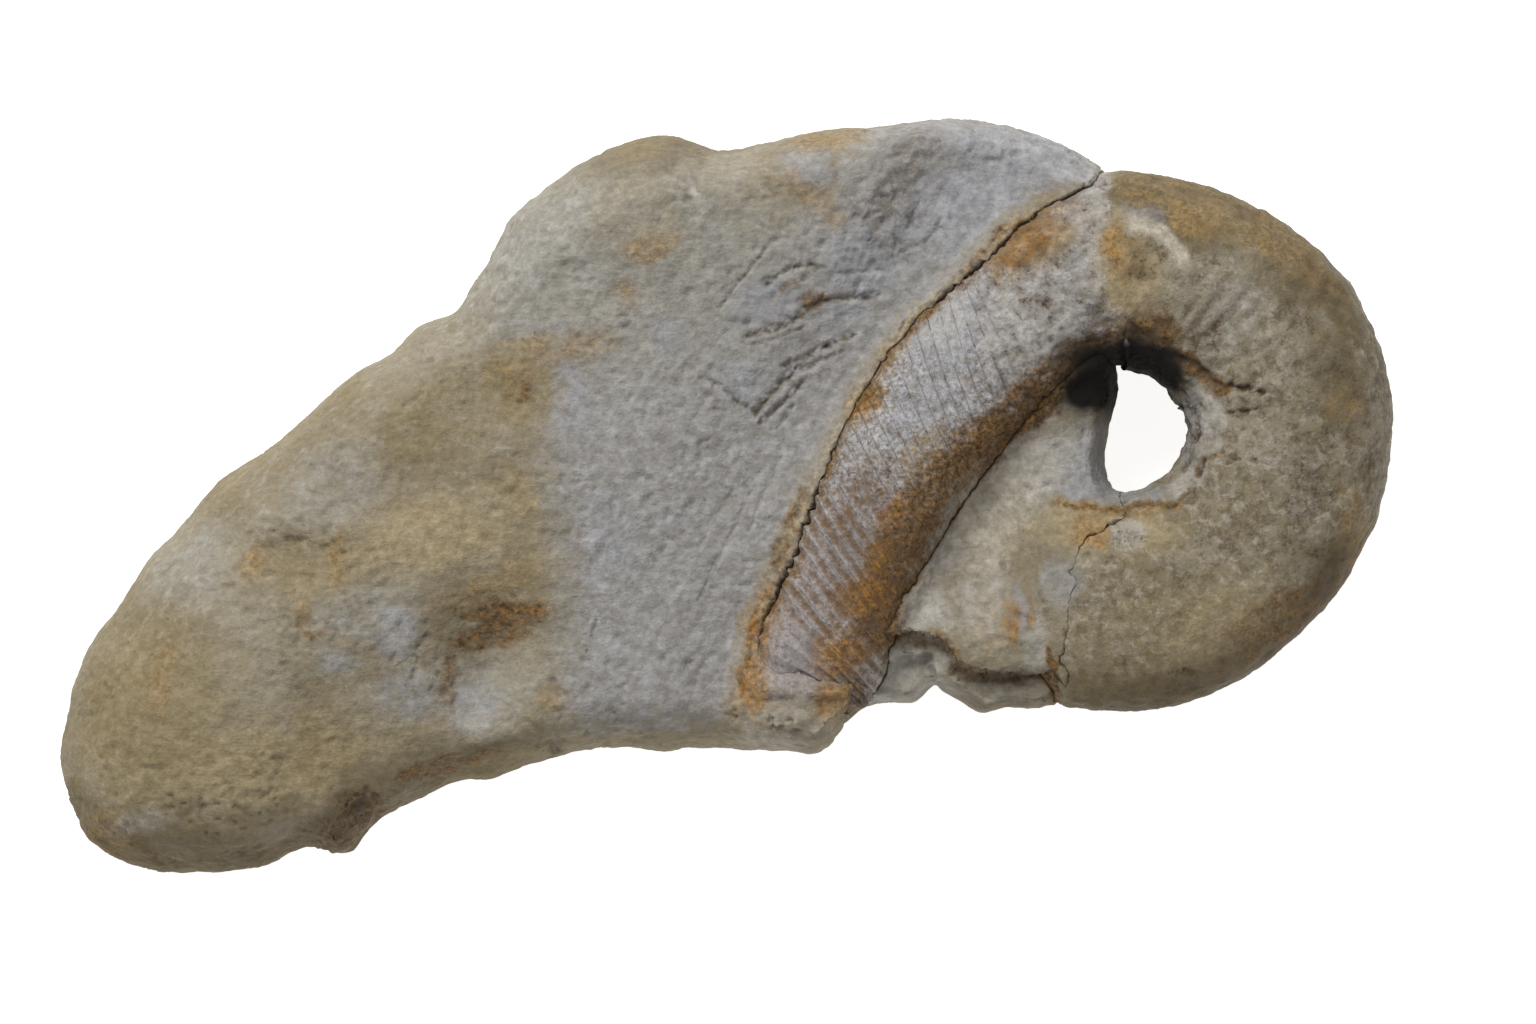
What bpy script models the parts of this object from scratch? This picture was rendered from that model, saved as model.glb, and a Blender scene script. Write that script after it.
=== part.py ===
"""A heteromorph ammonite, half freed from the limestone nodule that it lies in.

The shell is a bent tube: a straight ribbed shaft that turns back on itself in a wide hook.
The nodule is a flat pillow of stone with a level underside, an empty trough where the shell
lies, and a hole right through between the shaft and the hook.
Seen from above: +X along the nodule towards the hook, +Y across it, +Z up, 0 at its underside.
"""

import math

import bmesh
import bpy
import numpy as np
from mathutils import Vector
from mathutils.geometry import delaunay_2d_cdt

MM = 0.001

# The shell's middle line, from the broken lower end of the shaft round the hook to its mouth:
# x, y, height of the middle, half width seen from above, half height
SHELL_STATIONS = (
    (17.0, -49.5, 28.5, 13.0, 11.0),
    (19.0, -39.4, 30.0, 16.6, 14.6),
    (24.8, -21.8, 30.5, 16.9, 15.5),
    (33.0, -3.8, 31.0, 17.2, 16.2),
    (42.0, 11.7, 31.0, 17.9, 16.8),
    (51.5, 24.5, 30.5, 18.7, 17.3),
    (62.1, 35.4, 30.0, 19.2, 17.8),
    (74.2, 45.3, 29.0, 20.2, 18.5),
    (87.5, 50.3, 28.0, 22.2, 19.0),
    (100.8, 48.2, 27.0, 22.4, 19.3),
    (110.6, 43.4, 26.5, 22.9, 19.5),
    (118.6, 36.6, 26.0, 23.6, 19.7),
    (124.6, 26.8, 26.0, 23.8, 19.8),
    (126.7, 14.4, 26.0, 23.4, 20.0),
    (124.2, 1.6, 26.0, 23.4, 20.0),
    (117.5, -9.8, 26.0, 23.6, 20.0),
    (107.3, -18.7, 26.0, 24.2, 20.0),
    (95.2, -23.8, 26.0, 24.9, 19.8),
    (82.6, -25.4, 25.5, 23.6, 19.0),
    (72.6, -25.4, 24.5, 20.6, 16.0),
    (65.5, -25.4, 24.0, 15.5, 12.0),
)
SHAFT_LENGTH = 112.0  # from the lower end to where the ribs fade out
HOOK_STEP = 4.2
SHELL_SIDES = 20
SECTION_SQUARENESS = 2.3  # 2 is an ellipse, and more is boxier
RIB_SPACING = 3.2
RIB_DEPTH = 0.55
RIB_LEAN = math.radians(30)  # how far the ribs lean off square to the shaft
RIB_FADE_IN = 22.0
RIB_FADE_OUT = 30.0

# The nodule's edge seen from above, clockwise from the tip of its left lobe:
# x, y, and how far in from the edge the stone rounds over
NODULE_EDGE = (
    (-150.1, -59.0, 24), (-149.2, -51.8, 24), (-147.2, -42.1, 24), (-143.1, -32.6, 24),
    (-136.3, -23.6, 23), (-131.0, -15.1, 22), (-122.0, -5.6, 21), (-114.5, 3.4, 20),
    (-101.5, 12.4, 19), (-84.2, 27.4, 18), (-75.6, 32.4, 17), (-69.5, 38.2, 16),
    (-61.0, 41.9, 15), (-57.8, 47.0, 15), (-53.6, 53.3, 15), (-48.6, 63.0, 16),
    (-41.4, 69.1, 17), (-32.4, 75.6, 18), (-23.4, 79.7, 18), (-14.4, 81.9, 18),
    (-7.7, 80.8, 17), (-0.9, 78.5, 15), (8.1, 79.9, 14), (22.3, 82.8, 12),
    (35.8, 83.9, 10), (50.2, 85.5, 10), (62.8, 84.2, 11), (73.4, 81.0, 11),
    (81.9, 76.7, 10), (86.2, 72.5, 8), (87.3, 63.0, 7), (85.7, 43.9, 6),
    (88.2, 32.6, 5), (89.6, 24.8, 5), (88.9, 20.2, 5), (87.2, 13.5, 5),
    (86.8, 5.6, 5), (89.5, 0.7, 5), (95.9, -2.2, 5), (99.9, -9.0, 6),
    (98.1, -21.4, 8), (91.4, -33.8, 8), (83.5, -42.0, 7), (76.5, -45.6, 5),
    (71.5, -48.6, 4), (64.4, -48.6, 4), (58.3, -49.7, 4), (54.2, -47.5, 4),
    (49.3, -44.6, 4), (47.5, -43.4, 3.5), (43.4, -47.0, 4), (39.1, -47.5, 4),
    (32.2, -48.4, 4), (28.4, -51.3, 4), (25.7, -55.1, 5), (22.1, -58.1, 6),
    (18.9, -59.0, 8), (12.6, -58.3, 10), (3.6, -58.1, 12), (-7.7, -57.6, 13),
    (-12.8, -58.5, 13), (-23.4, -57.6, 14), (-32.4, -58.5, 14), (-40.1, -60.3, 14),
    (-45.2, -61.6, 14), (-52.6, -64.6, 14), (-60.1, -65.0, 15), (-67.7, -68.6, 16),
    (-76.3, -72.9, 16), (-79.7, -76.0, 15), (-83.5, -80.5, 13), (-87.5, -81.5, 13),
    (-92.5, -80.1, 15), (-97.0, -81.2, 16), (-104.0, -84.6, 18), (-112.3, -85.5, 20),
    (-125.3, -85.7, 22), (-135.9, -83.2, 23), (-144.2, -77.6, 24), (-148.3, -68.6, 24),
)
EDGE_HEIGHT = 17.0
UNDERSIDE_ROUNDING = 0.7  # share of the upper rounding that the underside has
TOP_HEIGHT = 43.5
EDGE_STEP = 5.5
INNER_STEP = 7.2
EDGE_RINGS = (0.07, 0.3)  # rows of points just inside the edge, as shares of its rounding

# Swellings and hollows of the top: x, y, radius along, radius across, turn in degrees, height
RELIEF = {
    "swell of the left lobe": (-98.0, -34.0, 62.0, 30.0, 45.0, 7.5),
    "knob at the upper edge": (-17.0, 62.0, 24.0, 18.0, 10.0, 3.0),
    "cut-back stone beside the shaft": (30.0, 34.0, 62.0, 13.0, 52.0, -5.0),
    "cut-back stone at the shaft's foot": (2.0, -38.0, 26.0, 12.0, 75.0, -4.5),
    "fan of cut stone above the shaft": (66.0, 72.0, 26.0, 12.0, -15.0, -4.5),
    "stone between shaft and hook": (56.0, -6.0, 22.0, 32.0, -20.0, -11.0),
    "stone below the hook's mouth": (70.0, -44.0, 22.0, 10.0, 0.0, -6.0),
    "slope down into the hole": (99.0, 14.0, 17.0, 19.0, 0.0, -17.0),
    "round dent": (-52.6, -37.6, 10.5, 13.5, -12.0, -5.5),
    "long dent": (-97.5, -14.0, 13.0, 5.0, -12.0, -3.2),
    "hollow above the long dent": (-60.0, 12.0, 16.0, 9.0, 40.0, -1.6),
    "ridge below the round dent": (-46.0, -56.0, 20.0, 4.0, 12.0, 1.6),
    "hollow of the lower lobe": (-90.0, -62.0, 14.0, 8.0, 30.0, -1.8),
}
# Hollows of the underside, in the same order; between them it is level and carries the weight
UNDERSIDE_HOLLOWS = {
    "under the left lobe": (-112.0, -48.0, 16.0, 11.0, 40.0, 3.6),
    "under the middle": (-48.0, -8.0, 26.0, 14.0, 55.0, 4.2),
    "under the upper edge": (14.0, 58.0, 24.0, 9.0, 5.0, 3.4),
    "under the shaft": (52.0, 2.0, 15.0, 24.0, -30.0, 3.8),
    "under the lower edge": (-16.0, -42.0, 22.0, 8.0, 0.0, 3.0),
}
LEVEL_SHARE = 1.0  # a hollow shallower than this is level ground
# Broken ledges of the lower edge: the drop below the stone above, and the corners of each
LEDGES = (
    (5.5, ((33, -33), (40, -31.5), (48.5, -32.5), (52.5, -38.5), (60, -41), (75, -39.5),
           (80, -56), (20, -60), (29, -46))),
    (5.0, ((34, -36.5), (46, -37), (48, -45), (46, -55), (24, -58), (31, -45))),
)
LEDGE_SLOPE = 1.6  # how far a ledge's face leans out

SHELL_GAP = 0.3  # between the shell and the stone round it
SPLINE_DETAIL = 24  # points read off a curve between two of its own
PATH_STEP = 0.4
# Spacing of the points that the nodule's mesh is made of
RING_SHORTFALL = 0.9  # a row's point nearer to the edge than this share of its reach is left out
RING_POINTS_APART = 0.9
LEDGE_POINT_STEP = 4.5
LEDGE_POINTS_APART = 1.2
LEDGE_TO_EDGE = 2.0
GRID_TO_EDGE = 2.5
GRID_POINTS_APART = 4.0


def spline(rows, step, closed=False):
    """Rows read off a smooth curve through the given rows, a step apart seen from above."""
    rows = np.array(rows, float)
    if closed:
        padded = np.vstack([rows[-1:], rows, rows[:2]])
    else:
        padded = np.vstack([2 * rows[0] - rows[1], rows, 2 * rows[-1] - rows[-2]])
    t = np.linspace(0, 1, SPLINE_DETAIL, endpoint=False)[:, None]
    pieces = []
    for a, b, c, d in zip(padded, padded[1:], padded[2:], padded[3:]):
        pieces.append(
            0.5 * (2 * b + (c - a) * t + (2 * a - 5 * b + 4 * c - d) * t**2
                   + (3 * b - a - 3 * c + d) * t**3)
        )
    fine = np.vstack(pieces + [rows[:1] if closed else rows[-1:]])
    length = np.r_[0, np.cumsum(np.linalg.norm(np.diff(fine[:, :2], axis=0), axis=1))]
    count = round(length[-1] / step)
    places = np.linspace(0, length[-1], count + 1)
    if closed:
        places = places[:-1]
    return np.column_stack([np.interp(places, length, column) for column in fine.T])


def shell_rings(grow, rib_depth):
    """Rings of points round the shell; each leans the way that the ribs do."""
    line = spline(SHELL_STATIONS, PATH_STEP)
    length = np.r_[0, np.cumsum(np.linalg.norm(np.diff(line[:, :2], axis=0), axis=1))]
    along = np.gradient(line[:, :2], axis=0)
    along /= np.linalg.norm(along, axis=1)[:, None]
    rib_places = np.arange(0.0, SHAFT_LENGTH, RIB_SPACING / 2)
    hook_places = np.arange(SHAFT_LENGTH, length[-1], HOOK_STEP)
    places = np.r_[rib_places, hook_places, length[-1]]
    turns = np.linspace(0, 2 * math.pi, SHELL_SIDES, endpoint=False)
    power = 2 / SECTION_SQUARENESS
    across = np.sign(np.cos(turns)) * np.abs(np.cos(turns)) ** power
    upward = np.sign(np.sin(turns)) * np.abs(np.sin(turns)) ** power
    rings = []
    # Every second ring of the shaft lies in a groove between two ribs
    for number, place in enumerate(places):
        fade = min(1.0, place / RIB_FADE_IN, max(0.0, (SHAFT_LENGTH - place) / RIB_FADE_OUT))
        fade = fade * fade * (3 - 2 * fade)
        groove = rib_depth * fade * (number % 2)
        half_width = np.interp(place, length, line[:, 3])
        # A point's own place along the shell, moved so that the ring lies along a rib
        lean = -across * half_width * math.tan(RIB_LEAN) * fade
        own = place + lean
        x, y, z, wide, high = (np.interp(own, length, column) for column in line.T)
        tangent_x = np.interp(own, length, along[:, 0])
        tangent_y = np.interp(own, length, along[:, 1])
        out = across * (wide + grow - groove)
        rings.append(
            np.column_stack([
                x + tangent_y * out,
                y - tangent_x * out,
                z + upward * (high + grow - groove),
            ])
        )
    return rings


def solid_from_rings(name, rings):
    """A closed tube through the rings, each end closed by a fan round its middle."""
    mesh = bmesh.new()
    rows = [[mesh.verts.new(point * MM) for point in ring] for ring in rings]
    for first, second in zip(rows, rows[1:]):
        for i in range(len(first)):
            j = (i + 1) % len(first)
            mesh.faces.new((first[i], first[j], second[j], second[i]))
    for row in (rows[0], rows[-1]):
        middle = mesh.verts.new(sum((v.co for v in row), Vector()) / len(row))
        for i in range(len(row)):
            mesh.faces.new((row[i], row[(i + 1) % len(row)], middle))
    bmesh.ops.recalc_face_normals(mesh, faces=mesh.faces)
    return object_from(name, mesh)


def object_from(name, mesh):
    data = bpy.data.meshes.new(name)
    mesh.to_mesh(data)
    mesh.free()
    made = bpy.data.objects.new(name, data)
    bpy.context.collection.objects.link(made)
    return made


def distance_to_loop(points, loop):
    """For each point: how far the closed line is, and how far along its rows that place is."""
    starts = loop[:, :2]
    span = np.roll(starts, -1, axis=0) - starts
    to_point = points[:, None, :] - starts[None]
    share = np.clip((to_point * span).sum(2) / (span**2).sum(1), 0, 1)
    gap = np.linalg.norm(to_point - share[..., None] * span, axis=2)
    nearest = gap.argmin(1)
    rows = np.arange(len(points))
    return gap[rows, nearest], nearest + share[rows, nearest]


def is_inside(points, corners):
    """Whether each point lies inside the polygon."""
    x, y = points.T
    inside = np.zeros(len(points), bool)
    for (x0, y0), (x1, y1) in zip(corners, np.roll(corners, -1, axis=0)):
        crosses = (y0 > y) != (y1 > y)
        slope = (x1 - x0) / (y1 - y0) if y1 != y0 else 0.0
        inside ^= crosses & (x < x0 + (y - y0) * slope)
    return inside


def ledge_depth(points):
    """How far the broken ledges lower the stone at each point."""
    depth = np.zeros(len(points))
    for drop, corners in LEDGES:
        corners = np.array(corners, float)
        gap, _ = distance_to_loop(points, corners)
        signed = np.where(is_inside(points, corners), gap, -gap)
        depth += drop * np.clip(0.5 + signed / LEDGE_SLOPE, 0, 1)
    return depth


def relief(points, mounds):
    """The height that the swellings and hollows add up to at each point."""
    height = np.zeros(len(points))
    for x, y, long_radius, short_radius, turn, rise in mounds.values():
        angle = math.radians(turn)
        dx, dy = points[:, 0] - x, points[:, 1] - y
        u = (dx * math.cos(angle) + dy * math.sin(angle)) / long_radius
        v = (dy * math.cos(angle) - dx * math.sin(angle)) / short_radius
        height += rise * np.exp(-(u**2 + v**2))
    return height


def top_height(points):
    return TOP_HEIGHT + relief(points, RELIEF) - ledge_depth(points)


def underside_height(points):
    return np.maximum(0, relief(points, UNDERSIDE_HOLLOWS) - LEVEL_SHARE)


def apart(points, kept, least):
    """The points that lie at least this far from those kept and from each other."""
    chosen = list(kept)
    for point in points:
        if min(np.hypot(*(np.array(chosen) - point).T)) >= least:
            chosen.append(point)
    return np.array(chosen)


def nodule_plan():
    """The points of the nodule seen from above, those of its edge first, and the edge's rows."""
    edge = spline(NODULE_EDGE, EDGE_STEP, closed=True)
    forward = np.roll(edge[:, :2], -1, axis=0) - np.roll(edge[:, :2], 1, axis=0)
    inward = np.column_stack([forward[:, 1], -forward[:, 0]])
    inward /= np.linalg.norm(inward, axis=1)[:, None]
    points = edge[:, :2]
    for share in EDGE_RINGS:
        reach = edge[:, 2] * share
        ring = edge[:, :2] + inward * reach[:, None]
        gap, _ = distance_to_loop(ring, edge)
        ring = ring[(gap > RING_SHORTFALL * reach) & is_inside(ring, edge[:, :2])]
        points = apart(ring, points, RING_POINTS_APART)
    ledge_points = []
    for _, corners in LEDGES:
        line = spline([(*corner, 0) for corner in corners], LEDGE_POINT_STEP, closed=True)[:, :2]
        side = np.roll(line, -1, axis=0) - np.roll(line, 1, axis=0)
        side = np.column_stack([side[:, 1], -side[:, 0]])
        side *= 0.5 * LEDGE_SLOPE / np.linalg.norm(side, axis=1)[:, None]
        ledge_points += [line + side, line - side]
    ledge_points = np.vstack(ledge_points)
    gap, _ = distance_to_loop(ledge_points, edge)
    ledge_points = ledge_points[(gap > LEDGE_TO_EDGE) & is_inside(ledge_points, edge[:, :2])]
    points = apart(ledge_points, points, LEDGE_POINTS_APART)
    low, high = edge[:, :2].min(0), edge[:, :2].max(0)
    grid = []
    for row, y in enumerate(np.arange(low[1], high[1], INNER_STEP * math.sqrt(0.75))):
        shift = (row % 2) * INNER_STEP / 2
        grid += [(x + shift, y) for x in np.arange(low[0], high[0], INNER_STEP)]
    grid = np.array(grid)
    gap, place = distance_to_loop(grid, edge)
    rounding = edge[place.astype(int) % len(edge), 2]
    inner = is_inside(grid, edge[:, :2]) & (gap > EDGE_RINGS[-1] * rounding + GRID_TO_EDGE)
    return apart(grid[inner], points, GRID_POINTS_APART), edge


def rounded(share):
    """A quarter circle: 0 at the edge, and 1 where the rounding ends."""
    return np.sqrt(1 - (1 - np.clip(share, 0, 1)) ** 2)


def make_nodule():
    plan, edge = nodule_plan()
    edge_count = len(edge)
    gap, place = distance_to_loop(plan, edge)
    gap[:edge_count] = 0
    rounding = edge[place.astype(int) % edge_count, 2]
    upper = EDGE_HEIGHT + (top_height(plan) - EDGE_HEIGHT) * rounded(gap / rounding)
    inward = rounded(gap / (rounding * UNDERSIDE_ROUNDING))
    lower = EDGE_HEIGHT + (underside_height(plan) - EDGE_HEIGHT) * inward
    edges = [(i, (i + 1) % edge_count) for i in range(edge_count)]
    flat = [Vector(point) for point in plan]
    triangles = delaunay_2d_cdt(flat, edges, [], 1, 1e-6)[2]
    mesh = bmesh.new()
    top = [mesh.verts.new((x * MM, y * MM, z * MM)) for (x, y), z in zip(plan, upper)]
    under = top[:edge_count] + [
        mesh.verts.new((x * MM, y * MM, z * MM))
        for (x, y), z in zip(plan[edge_count:], lower[edge_count:])
    ]
    for a, b, c in triangles:
        mesh.faces.new((top[a], top[b], top[c]))
        mesh.faces.new((under[c], under[b], under[a]))
    bmesh.ops.recalc_face_normals(mesh, faces=mesh.faces)
    return object_from("matrix", mesh)


def material(name, colour, roughness):
    made = bpy.data.materials.new(name)
    made.use_nodes = True
    shader = made.node_tree.nodes["Principled BSDF"]
    shader.inputs["Base Color"].default_value = (*colour, 1)
    shader.inputs["Roughness"].default_value = roughness
    shader.inputs["Metallic"].default_value = 0
    return made


def main():
    for thing in list(bpy.data.objects):
        bpy.data.objects.remove(thing, do_unlink=True)

    shell = solid_from_rings("ammonite", shell_rings(0.0, RIB_DEPTH))
    shell.data.materials.append(material("brown weathered shell", (0.22, 0.17, 0.11), 0.75))
    shell.data.shade_smooth()

    stone = make_nodule()
    stone.data.materials.append(material("grey-buff limestone", (0.29, 0.26, 0.21), 0.9))
    stone.data.shade_smooth()

    trough = solid_from_rings("trough_cutter", shell_rings(SHELL_GAP, 0.0))
    trough.hide_render = True
    trough.display_type = "WIRE"
    cut = stone.modifiers.new("trough for the shell", "BOOLEAN")
    cut.operation = "DIFFERENCE"
    cut.solver = "EXACT"
    cut.object = trough


main()
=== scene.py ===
# %% [markdown]
# # A heteromorph ammonite in its stone
#
# The real object is one fossil in two parts. The shell is a bent tube: a ribbed shaft that turns
# back on itself in a wide hook. The rest is the loose limestone nodule that it turned to stone in,
# which a preparator has partly cut away.
#
# The plain solids of both come in first, as a frame that is already the right size. Everything
# below is a finer skin for the same two parts, so nothing here moves or grows.

# %% Load the frame
import math

import bmesh
import bpy
import numpy as np
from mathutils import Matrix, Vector, noise
from mathutils.bvhtree import BVHTree
from mathutils.geometry import delaunay_2d_cdt
from mathutils.kdtree import KDTree


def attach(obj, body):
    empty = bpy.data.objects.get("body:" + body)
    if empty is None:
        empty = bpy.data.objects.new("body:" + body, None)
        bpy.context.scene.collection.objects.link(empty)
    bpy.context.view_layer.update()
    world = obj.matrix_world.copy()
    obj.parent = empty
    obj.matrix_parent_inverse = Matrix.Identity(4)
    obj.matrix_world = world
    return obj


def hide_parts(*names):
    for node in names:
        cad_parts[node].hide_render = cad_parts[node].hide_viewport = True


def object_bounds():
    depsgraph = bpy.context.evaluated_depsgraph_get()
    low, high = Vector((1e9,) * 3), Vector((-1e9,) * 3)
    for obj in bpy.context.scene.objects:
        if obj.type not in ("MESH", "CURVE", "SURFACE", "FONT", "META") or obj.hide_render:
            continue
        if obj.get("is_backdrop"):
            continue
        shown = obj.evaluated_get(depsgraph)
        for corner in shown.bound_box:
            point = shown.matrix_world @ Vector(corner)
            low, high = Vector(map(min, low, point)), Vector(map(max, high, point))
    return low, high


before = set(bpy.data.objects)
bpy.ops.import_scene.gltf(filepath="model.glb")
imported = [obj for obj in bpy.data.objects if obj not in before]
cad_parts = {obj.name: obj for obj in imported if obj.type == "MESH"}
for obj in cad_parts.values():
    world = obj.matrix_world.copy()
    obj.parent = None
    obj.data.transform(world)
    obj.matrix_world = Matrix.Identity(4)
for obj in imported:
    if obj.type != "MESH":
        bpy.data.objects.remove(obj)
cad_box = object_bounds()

MM = 0.001
low, high = cad_box
print(f"frame: {[round((b - a) / MM, 1) for a, b in zip(low, high)]} mm")

# %% [markdown]
# ## The camera
#
# A fossil like this is photographed from straight above, lying on a table. A long lens keeps the
# sides from splaying out. The camera's height follows from the width that the picture covers at
# the middle of the stone's thickness.
#
# Marks and stains further down were measured as the picture shows them. Even a long lens draws the
# top of a stone two per cent larger than its rim, so one function says where a point is seen.

# %% Camera straight above
PICTURE_WIDTH = 345.6 * MM  # 1536 pixels of 0.225 mm
PICTURE_MIDDLE = (9.9 * MM, -3.825 * MM)
HEIGHT_IN_FOCUS = 22 * MM
LENS, SENSOR = 110.0, 36.0
NEAREST_DRAWN = 0.01

lens = bpy.data.cameras.new("straight_above")
lens.lens = LENS
lens.sensor_width = SENSOR
lens.clip_start = NEAREST_DRAWN
camera = bpy.data.objects.new("straight_above", lens)
camera.location = (*PICTURE_MIDDLE, HEIGHT_IN_FOCUS + PICTURE_WIDTH * LENS / SENSOR)
bpy.context.scene.collection.objects.link(camera)
bpy.context.scene.camera = camera
print(f"camera: {camera.location.z:.3f} m above the floor")


def as_seen(at):
    """Where the picture shows each point, in mm: what is nearer to the lens lies further out."""
    middle = np.array(PICTURE_MIDDLE) / MM
    nearer = (at[:, 2] - HEIGHT_IN_FOCUS / MM) / (PICTURE_WIDTH / MM * LENS / SENSOR)
    return middle + (at[:, :2] - middle) / (1 - nearer[:, None])

# %% [markdown]
# ## Floor and light
#
# Museum photographs of fossils use one large soft light from the top of the picture, so that
# relief throws short soft shadows downwards, and a pale surround that fills them. The Standard
# view transform shows a surface's colour as it was mixed, which suits a specimen's record.

# %% Floor and soft light
FLOOR_SIZE = 6.0
FLOOR_BELOW = 0.05 * MM  # so that it doesn't share a plane with the underside
LIGHT_PLACE = (-0.42, 0.95, 1.05)
LIGHT_SIZE = 0.75
LIGHT_POWER = 18.4
SURROUND = 0.42


def linear(hex_colour):
    """The linear colour of an sRGB hex value such as #86775c."""
    parts = [int(hex_colour[i:i + 2], 16) / 255 for i in (1, 3, 5)]
    return tuple(c / 12.92 if c <= 0.04045 else ((c + 0.055) / 1.055) ** 2.4 for c in parts) + (1.0,)


def add(tree, kind, links=None, **settings):
    """Adds a node, and gives its outputs. links maps an input to a value or to another's output."""
    made = tree.nodes.new(kind)
    for name, value in settings.items():
        setattr(made, name, value)
    for key, value in (links or {}).items():
        if isinstance(value, bpy.types.NodeSocket):
            tree.links.new(value, made.inputs[key])
        else:
            made.inputs[key].default_value = value
    return made.outputs


def calc(tree, operation, *values):
    """The outcome of one Math node."""
    return add(tree, "ShaderNodeMath", dict(enumerate(values)), operation=operation)[0]


def empty_material(name):
    made = bpy.data.materials.new(name)
    made.use_nodes = True
    made.node_tree.nodes.clear()
    return made, made.node_tree


def matt_card():
    """White card: no gloss, and just enough glow to stay white in the specimen's shade."""
    made, tree = empty_material("matt white card")
    shader = add(
        tree, "ShaderNodeBsdfPrincipled",
        {"Base Color": linear("#cfcfcd"), "Roughness": 0.95, "Specular IOR Level": 0.1,
         "Emission Color": linear("#ffffff"), "Emission Strength": 0.85},
    )
    add(tree, "ShaderNodeOutputMaterial", {"Surface": shader[0]})
    return made


floor_corners = [(x * FLOOR_SIZE / 2, y * FLOOR_SIZE / 2, -FLOOR_BELOW)
                 for x, y in ((-1, -1), (1, -1), (1, 1), (-1, 1))]
floor_mesh = bpy.data.meshes.new("floor")
floor_mesh.from_pydata(floor_corners, [], [(0, 1, 2, 3)])
floor_mesh.materials.append(matt_card())
floor = bpy.data.objects.new("floor", floor_mesh)
bpy.context.scene.collection.objects.link(floor)
floor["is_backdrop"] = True

softbox = bpy.data.lights.new("softbox", "AREA")
softbox.shape = "SQUARE"
softbox.size = LIGHT_SIZE
softbox.energy = LIGHT_POWER
softbox_object = bpy.data.objects.new("softbox", softbox)
softbox_object.location = LIGHT_PLACE
softbox_object.rotation_euler = (-Vector(LIGHT_PLACE)).to_track_quat("-Z", "Y").to_euler()
bpy.context.scene.collection.objects.link(softbox_object)

surround = bpy.data.worlds.new("pale room")
surround.use_nodes = True
surround.node_tree.nodes["Background"].inputs["Color"].default_value = linear("#fbfbff")
surround.node_tree.nodes["Background"].inputs["Strength"].default_value = SURROUND
bpy.context.scene.world = surround
bpy.context.scene.view_settings.view_transform = "Standard"
print("one softbox and a pale surround")

# %% [markdown]
# ## Noise for stone
#
# Stone has no smooth surface at any scale. Fractal noise adds ever smaller octaves of the same
# bumps, which is how a weathered surface looks. Sizes are in millimetres, so a grain of half a
# millimetre stays half a millimetre on every piece.


# %% Noise and falloffs
def clouds(points, size, octaves=4, seed=0):
    """Fractal noise between about -1 and 1 at each point, whose largest bumps are this size in mm."""
    shift = Vector((31.7, -12.3, 7.9)) * (seed + 1)
    return np.array([noise.fractal(Vector(p) / size + shift, 1.0, 2.0, octaves) for p in points])


def smooth_step(low, high, values):
    share = np.clip((values - low) / (high - low), 0, 1)
    return share * share * (3 - 2 * share)


def line_gap(points, corners):
    """How far each point is, seen from above, from the line through the corners."""
    corners = np.array(corners, float)
    nearest = np.full(len(points), np.inf)
    for start, end in zip(corners, corners[1:]):
        span = end - start
        share = np.clip((points - start) @ span / (span @ span), 0, 1)
        nearest = np.minimum(nearest, np.hypot(*(points - start - share[:, None] * span).T))
    return nearest


def mounds(points, rows):
    """The height that swellings and hollows add up to: x, y, two radii, turn in degrees, rise."""
    height = np.zeros(len(points))
    for x, y, long_radius, short_radius, turn, rise in rows:
        angle = math.radians(turn)
        dx, dy = points[:, 0] - x, points[:, 1] - y
        u = (dx * math.cos(angle) + dy * math.sin(angle)) / long_radius
        v = (dy * math.cos(angle) - dx * math.sin(angle)) / short_radius
        height += rise * np.exp(-(u**2 + v**2))
    return height


def is_inside(points, corners):
    """Whether each point lies inside the polygon."""
    x, y = points.T
    inside = np.zeros(len(points), bool)
    for (x0, y0), (x1, y1) in zip(corners, np.roll(corners, -1, axis=0)):
        crosses = (y0 > y) != (y1 > y)
        slope = (x1 - x0) / (y1 - y0) if y1 != y0 else 0.0
        inside ^= crosses & (x < x0 + (y - y0) * slope)
    return inside


def inside_by(points, corners):
    """How far inside the polygon each point lies; below 0 is how far outside."""
    corners = np.array(corners, float)
    gap = line_gap(points, np.vstack([corners, corners[:1]]))
    return np.where(is_inside(points, corners), gap, -gap)


print("noise at 10 mm:", np.round(clouds([(0, 0, 0), (5, 0, 0), (10, 3, 0)], 10.0), 2))

# %% [markdown]
# ## The shell's path
#
# An ammonite's shell is one tube that the animal lengthened at its mouth. So it follows a rule:
# a path, and at each place on it a width and a height. These are the same stations that the
# plain solid has, from the broken lower end of the shaft round the hook to its mouth.

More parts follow.
